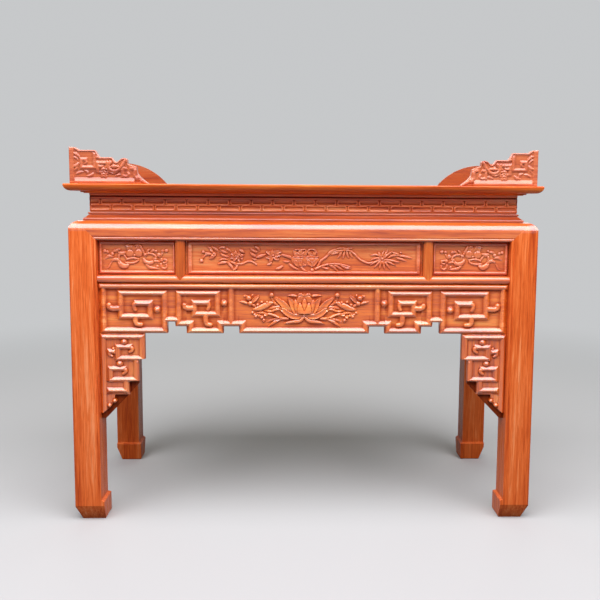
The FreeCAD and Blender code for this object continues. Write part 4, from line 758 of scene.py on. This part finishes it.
def moulded_base(side, half_length, reach, wood, turn):
    """Base of one side, a section carried straight between two mitres. Out from the neck's face and up
    from the frame, the section climbs over a bead of half an ellipse 3.5 by 9 mm, a cove whose rise is
    its run to the power 1.25, a groove, a bead 2.5 by 7 mm and a groove under the neck, and closes
    behind."""
    half_turn = np.radians(np.linspace(-90, 90, 13))
    run = np.linspace(0, 1, 9)
    out = np.concatenate([16.5 + 3.5 * np.cos(half_turn), 16.4 - 13.0 * run, [1.0, 1.0],
                          2.5 + 2.5 * np.cos(half_turn), [-2.0, -2.0, -26.0, -26.0]])
    up = np.concatenate([4.5 + 4.5 * np.sin(half_turn), 9.2 + 11.0 * run ** 1.25, [20.8, 22.4],
                         26.5 + 3.5 * np.sin(half_turn), [30.6, 34.0, 34.0, 0.0]])
    count = len(out)
    ends = np.concatenate([-(half_length + out), half_length + out])
    across, level = turn(ends, -reach - np.tile(out, 2))
    points = np.stack([across, level, base_low + np.tile(up, 2)], axis=1) * 0.001
    ring = np.arange(count)
    after = np.roll(ring, -1)
    faces = np.stack([ring, after, after + count, ring + count], axis=1).tolist()
    mesh = bpy.data.meshes.new("moulded_base_" + side)
    mesh.from_pydata(points.tolist(), [], faces + [ring[::-1].tolist(), (ring + count).tolist()])
    work = bmesh.new()
    work.from_mesh(mesh)
    bmesh.ops.recalc_face_normals(work, faces=work.faces)
    work.to_mesh(mesh)
    work.free()
    set_piece(mesh, wood, "frame_wood", "neck_base_" + side)


for side, half_length, reach, neck_wood, base_wood, turn in (
    ("front", neck_long, neck_short, neck_wood_long, base_wood_long, lambda a, b: (a, b)),
    ("back", neck_long, neck_short, neck_wood_long, base_wood_long, lambda a, b: (-a, -b)),
    ("left", neck_short, neck_long, neck_wood_cross, base_wood_cross, lambda a, b: (b, -a)),
    ("right", neck_short, neck_long, neck_wood_cross, base_wood_cross, lambda a, b: (-b, a)),
):
    def neck_place(across, up, height):
        """Place on the neck: the back of the board, lower than 10 mm, is drawn in to the mitre."""
        mitred = across * (1 + np.minimum(height, 0) * (height < -10) / half_length)
        return *turn(mitred, -reach - height), up + neck_low

    moulded_base(side, half_length, reach, base_wood, turn)
    if side == "back":
        eased("neck_back", neck_wood, "carved_wood", ease=0.001)
        continue
    columns = np.linspace(-half_length, half_length, int(2 * half_length / 1.35))
    carved_board(
        "carved_neck_" + side, columns, 0.0, neck_height, tab_band, neck_place,
        neck_wood, "carved_wood", "neck_" + side, rows=60, depth=22, contrast=3.6,
    )

# Top
# A mitred frame with a moulded edge, grooved for three boards that are tongued together; the top is
# planed flush, sanded and lacquered.
top_finish = {"light": (1.06, 1.18, 0.9), "gloss": 0.34, "coat": 0.25, "polish": 0.15}
top_long = rosewood("top_wood_long", "X", (3.4, 0.6, 0.2), **top_finish)
top_cross = rosewood("top_wood_cross", "Y", (0.5, 2.6, 1.2), **top_finish)
for side, wood in (("front", top_long), ("back", top_long), ("left", top_cross), ("right", top_cross)):
    eased("top_frame_" + side, wood, "top_wood", ease=0.0008)
for row, shift in (("front", 5.1), ("middle", 7.3), ("back", 9.7)):
    board_wood = rosewood("top_board_wood_" + row, "X", (shift, 0.3, 0.5))
    eased("top_board_" + row, board_wood, "top_wood", ease=0.0006)

# Wings
# Upright boards dowelled to both ends of the top: stepped and carved in front with frets, scrolls and a
# flower, low and plain along the ends, and cut to an arc at the back.
scrolls = (
    ("leaf", 10.5, 3.6, 19.5, 108.9, 29.1, 102.6, 39.6, 91.1),
    ("leaf", 10.5, 3.6, 18.1, 61, 27.6, 64.8, 37.7, 75.4),
    ("blade", 8, 2.8, 19, 95, 26.2, 91.1, 33.4, 81.6), ("blade", 8, 2.8, 20, 45.9, 26.7, 53.8, 31, 59.1),
    ("blade", 9, 3, 24.8, 32.7, 39.1, 39.9, 53.5, 42.3),
    ("blade", 9.5, 3.2, 55.9, 45.9, 65.4, 41.1, 68.3, 32.7),
    ("leaf", 11, 4, 65.4, 26, 78.9, 28.9, 87.5, 38.5), ("stem", 9, 4, 60.2, 82.5, 63.1, 76.3, 57.8, 70.6),
    ("bud", 13, 4.6, 103.7, 94.5),
    *alike("petal", 12.5, 4.4,
        (125.3, 34.7, 117.1, 39.4, 112.4, 43.3), (125.3, 34.7, 125.8, 43.3, 129.1, 49),
        (125.3, 34.7, 134.4, 37.5, 140.1, 37.5), (125.3, 34.7, 130.6, 26.5, 134.4, 22.2),
        (125.3, 34.7, 119.5, 27.5, 116.2, 23.2),
    ),
    ("bud", 9.5, 5.4, 125.3, 34.7),
    ("stem", 9, 5, 118.1, 50, 131.5, 53.8, 145.9, 42.8, 158.3, 37.5, 171.7, 41.4),
    ("stem", 14, 5.6, 149.2, 76.3, 141.6, 64.8, 145.9, 51.4, 159.8, 45.2, 176.5, 49, 189, 61.9, 197.6,
     76.8, 205.2, 85.9), ("blade", 15, 5.6, 151.6, 60, 164.1, 61, 178.4, 61),
    ("stem", 9, 4.6, 137.3, 78.2, 137.3, 66.3, 130.6, 56.7),
    ("leaf", 12, 4.6, 189, 52.4, 198.5, 54.3, 210, 52.9),
    ("leaf", 12, 4.6, 220.1, 53.8, 229.2, 54.3, 238.3, 50.5),
    ("stem", 9, 4.4, 197.1, 28.4, 206.7, 26, 214.3, 32.7, 211.5, 39.4),
    ("blade", 9, 3.6, 166, 25.6, 175.6, 31.3, 186.6, 32.7), ("bud", 20, 5.6, 245.4, 18.9),
    ("leaf", 13, 4.8, 253.6, 16.5, 266.5, 9.8, 281.3, 1.4),
)
wing_runs = (
    ((91.8, 104.1), (91.8, 57.9), (45.0, 57.9), (45.0, 86.0), (60.0, 86.0)),
    ((103.0, 42.0), (103.0, 74.0), (130.0, 74.0)),
    ((103.0, 61.0), (118.0, 61.0)),
    ((192.3, 48.0), (192.3, 27.0)),
    ((235.6, 47.0), (235.6, 27.0)),
)
wing_length, wing_height, wing_end, wing_face, top_level = 284, 131, 855, -385, 1270
wing_along = wing_length * np.array([
    0, 0.074, 0.100, 0.127, 0.1295, 0.330, 0.347, 0.360, 0.389, 0.540, 0.556, 0.575, 0.598, 0.622, 0.640,
    0.662, 0.698, 0.726, 0.738, 0.7405, 0.852, 0.866, 0.890, 0.912, 0.955, 1.0,
])
wing_up = wing_height * np.array([
    1.0, 0.992, 0.965, 0.918, 0.918, 0.918, 0.850, 0.800, 0.724, 0.722, 0.672, 0.618, 0.592, 0.610, 0.650,
    0.690, 0.708, 0.694, 0.655, 0.552, 0.464, 0.290, 0.215, 0.165, 0.090, 0.01,
])
stile_width, stile_rise, stile_slope = 17, 3.0, 2.5
ledge_rise, ledge_top, ledge_slope, ledge_from, ledge_to, ledge_fade = 7.5, 22, 13, 16, 238, 4
edge_bead = np.stack([wing_along[1:-6], wing_up[1:-6] - 3.2], axis=1).ravel()


def wing_relief(along, up):
    """Stile, edge bead, ledge, frets and scrolls over the wing's face. The ledge slopes out from 22 mm
    up to its full rise at 9 mm, and fades at both ends."""
    height = square_bars(along, up, wing_runs, half=6.8, rise=4.6, blunt=2.0)
    fading = np.clip((ledge_to - along) / ledge_fade, 0, 1)
    fading = fading * np.clip((along - ledge_from) / ledge_fade, 0, 1)
    ledge = ledge_rise * np.clip((ledge_top - up) / ledge_slope, 0, 1) * fading
    height = np.maximum(height, ledge)
    cuts = np.zeros_like(height)
    carve(cuts, along, up, (("stem", 7.0, 3.4, *edge_bead),), cut=0.2)
    carve(cuts, along, up, scrolls, cut=0.9)
    stile = stile_rise * np.clip((stile_width - along) / stile_slope, 0, 1) ** 0.5
    return softened(np.where(along < stile_width, stile, overlaid(height, cuts)), 1, 1)


# The wing's ridge colour is a painted highlight on its carving.
wing_wood = rosewood(
    "wing_wood", "X", (2.8, 3.7, 0.9), (0.88, 1.20, 2.5), gloss=0.34, coat=0.6, ridge=(1.04, 1.16, 2.4),
)
for side, sign in (("left", -1), ("right", 1)):
    columns = with_corners(wing_along, 220)
    carved_board(
        "carved_wing_" + side, columns, 0.0, np.interp(columns, wing_along, wing_up), wing_relief,
        lambda a, b, h: (sign * (wing_end - a), wing_face - h, top_level + b),
        wing_wood, "carved_wood", "wing_front_" + side, rows=112, depth=22, contrast=11, edge=4.0,
    )
    # The arc board's wood is darkened: painted shade at the back of the top.
    wing_back_shade_wood = rosewood("wing_back_wood_" + side, "X", (4.4, sign, 0.2), (0.47, 0.62, 1.05))
    side_wood = rosewood("wing_side_wood_" + side, "Y", (sign, 1.2, 4.0))
    eased("wing_back_" + side, wing_back_shade_wood, "carved_wood", ease=0.002)
    eased("wing_side_" + side, side_wood, "carved_wood", ease=0.002)

# Hidden pieces
# Battens, stretchers, glue blocks, dowels and pegs under the top and inside the frame, sawn from the
# same wood and left without lacquer.
inner_wood = rosewood("inner_wood", "Y", (0.1, 0.9, 0.2), (0.8, 0.8, 0.8), gloss=0.55, coat=0.0)
for node in (
    "top_batten_left", "top_batten_centre", "top_batten_right", "cross_stretcher_left",
    "cross_stretcher_right", "neck_corner_blocks", "neck_base_dowels", "mid_rail_pegs", "wing_dowels",
):
    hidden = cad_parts[node].data
    hidden.materials.clear()
    hidden.materials.append(inner_wood)

# Studio
# A plain pale floor that fades into an even pale surround a few metres out, a broad soft lamp high in
# front and a weaker one behind.
backdrop_tone = (0.57, 0.58, 0.59, 1.0)
floor_half, fade_from, fade_to = 40, 1.6, 5.0


def seen_directly(tree):
    """One for rays that show the backdrop, from the camera, a gloss or a clear piece, and zero for the
    rest."""
    path = tree.nodes.new("ShaderNodeLightPath")
    total = path.outputs["Is Camera Ray"]
    for ray in ("Is Glossy Ray", "Is Transmission Ray"):
        larger = tree.nodes.new("ShaderNodeMath")
        larger.operation = "MAXIMUM"
        tree.links.new(total, larger.inputs[0])
        tree.links.new(path.outputs[ray], larger.inputs[1])
        total = larger.outputs[0]
    return total


def shader_mix(tree, share, first, second):
    """First shader at a share of zero, second at one."""
    made = tree.nodes.new("ShaderNodeMixShader")
    for source, socket in zip((share, first, second), made.inputs):
        tree.links.new(source, socket)
    return made.outputs["Shader"]


floor_mesh = bpy.data.meshes.new("studio_floor")
floor_corners = [(x * floor_half, y * floor_half, 0) for x, y in ((-1, -1), (1, -1), (1, 1), (-1, 1))]
floor_mesh.from_pydata(floor_corners, [], [(0, 1, 2, 3)])
floor = bpy.data.objects.new("studio_floor", floor_mesh)
bpy.context.scene.collection.objects.link(floor)
floor_paint = bpy.data.materials.new("studio_floor_paint")
floor_paint.use_nodes = True
floor_tree = floor_paint.node_tree
floor_shader = floor_tree.nodes["Principled BSDF"]
floor_shader.inputs["Base Color"].default_value = (0.45, 0.465, 0.435, 1.0)
floor_shader.inputs["Roughness"].default_value = 0.8
floor_dim = floor_tree.nodes.new("ShaderNodeBsdfDiffuse")
floor_dim.inputs["Color"].default_value = (0.12, 0.12, 0.12, 1.0)
floor_shown = seen_directly(floor_tree)
floor_near = shader_mix(floor_tree, floor_shown, floor_dim.outputs["BSDF"], floor_shader.outputs["BSDF"])
floor_place = floor_tree.nodes.new("ShaderNodeTexCoord")
floor_reach = floor_tree.nodes.new("ShaderNodeVectorMath")
floor_reach.operation = "LENGTH"
floor_tree.links.new(floor_place.outputs["Object"], floor_reach.inputs[0])
floor_fade = floor_tree.nodes.new("ShaderNodeMapRange")
floor_fade.interpolation_type = "SMOOTHSTEP"
floor_fade.inputs["From Min"].default_value = fade_from
floor_fade.inputs["From Max"].default_value = fade_to
floor_tree.links.new(floor_reach.outputs["Value"], floor_fade.inputs["Value"])
floor_share = floor_tree.nodes.new("ShaderNodeMath")
floor_share.operation = "MULTIPLY"
floor_tree.links.new(floor_fade.outputs["Result"], floor_share.inputs[0])
floor_tree.links.new(floor_shown, floor_share.inputs[1])
floor_far = floor_tree.nodes.new("ShaderNodeEmission")
floor_far.inputs["Color"].default_value = backdrop_tone
floor_all = shader_mix(floor_tree, floor_share.outputs[0], floor_near, floor_far.outputs["Emission"])
floor_tree.links.new(floor_all, floor_tree.nodes["Material Output"].inputs["Surface"])
floor_mesh.materials.append(floor_paint)

surround = bpy.data.worlds.new("studio_surround")
bpy.context.scene.world = surround
surround.use_nodes = True
sky = surround.node_tree
sky_fill = sky.nodes["Background"]
sky_fill.inputs["Color"].default_value = (0.86, 0.88, 0.92, 1.0)
sky_fill.inputs["Strength"].default_value = 0.10
sky_shown = sky.nodes.new("ShaderNodeBackground")
sky_shown.inputs["Color"].default_value = backdrop_tone
sky_all = shader_mix(
    sky, seen_directly(sky), sky_fill.outputs["Background"], sky_shown.outputs["Background"],
)
sky.links.new(sky_all, sky.nodes["World Output"].inputs["Surface"])


def soft_lamp(name, place, aim, size, power, colour):
    """Rectangular soft box that faces a point."""
    lamp = bpy.data.lights.new(name, "AREA")
    lamp.shape = "RECTANGLE"
    lamp.size, lamp.size_y = size
    lamp.energy = power
    lamp.color = colour
    box = bpy.data.objects.new(name, lamp)
    bpy.context.scene.collection.objects.link(box)
    box.location = place
    box.rotation_euler = (Vector(aim) - Vector(place)).to_track_quat("-Z", "Y").to_euler()


soft_lamp(
    "lamp_front", place=(0.0, -1.95, 4.05), aim=(0.0, -0.2, 1.0), size=(7.0, 4.0), power=480.0,
    colour=(1.0, 0.96, 1.06),
)
soft_lamp(
    "lamp_back", place=(0.0, 3.6, 3.6), aim=(0.0, 0.2, 0.9), size=(5.0, 2.0), power=75.0,
    colour=(1.0, 0.98, 0.97),
)

# Camera
# It stands at the photograph's distance and height, a little left of the middle, and looks slightly
# down. Yaw, pitch and roll are in radians.
yaw, pitch, roll = 0.0228, 0.1027, -0.0062
forward = Vector((math.sin(yaw) * math.cos(pitch), math.cos(yaw) * math.cos(pitch), -math.sin(pitch)))
level = Vector((math.cos(yaw), -math.sin(yaw), 0.0))
drop = forward.cross(level)
right = math.cos(roll) * level + math.sin(roll) * drop
down = math.cos(roll) * drop - math.sin(roll) * level
camera_data = bpy.data.cameras.new("photo_camera")
camera_data.sensor_width = 36.0
camera_data.lens = 44.657
camera_data.shift_x = -0.0167
camera_data.shift_y = -0.0355
camera = bpy.data.objects.new("photo_camera", camera_data)
bpy.context.scene.collection.objects.link(camera)
camera.rotation_euler = Matrix((right, -down, -forward)).transposed().to_euler()
camera.location = (-0.0424, -3.1256, 1.2080)
bpy.context.scene.camera = camera
bpy.context.scene.view_settings.view_transform = "Standard"
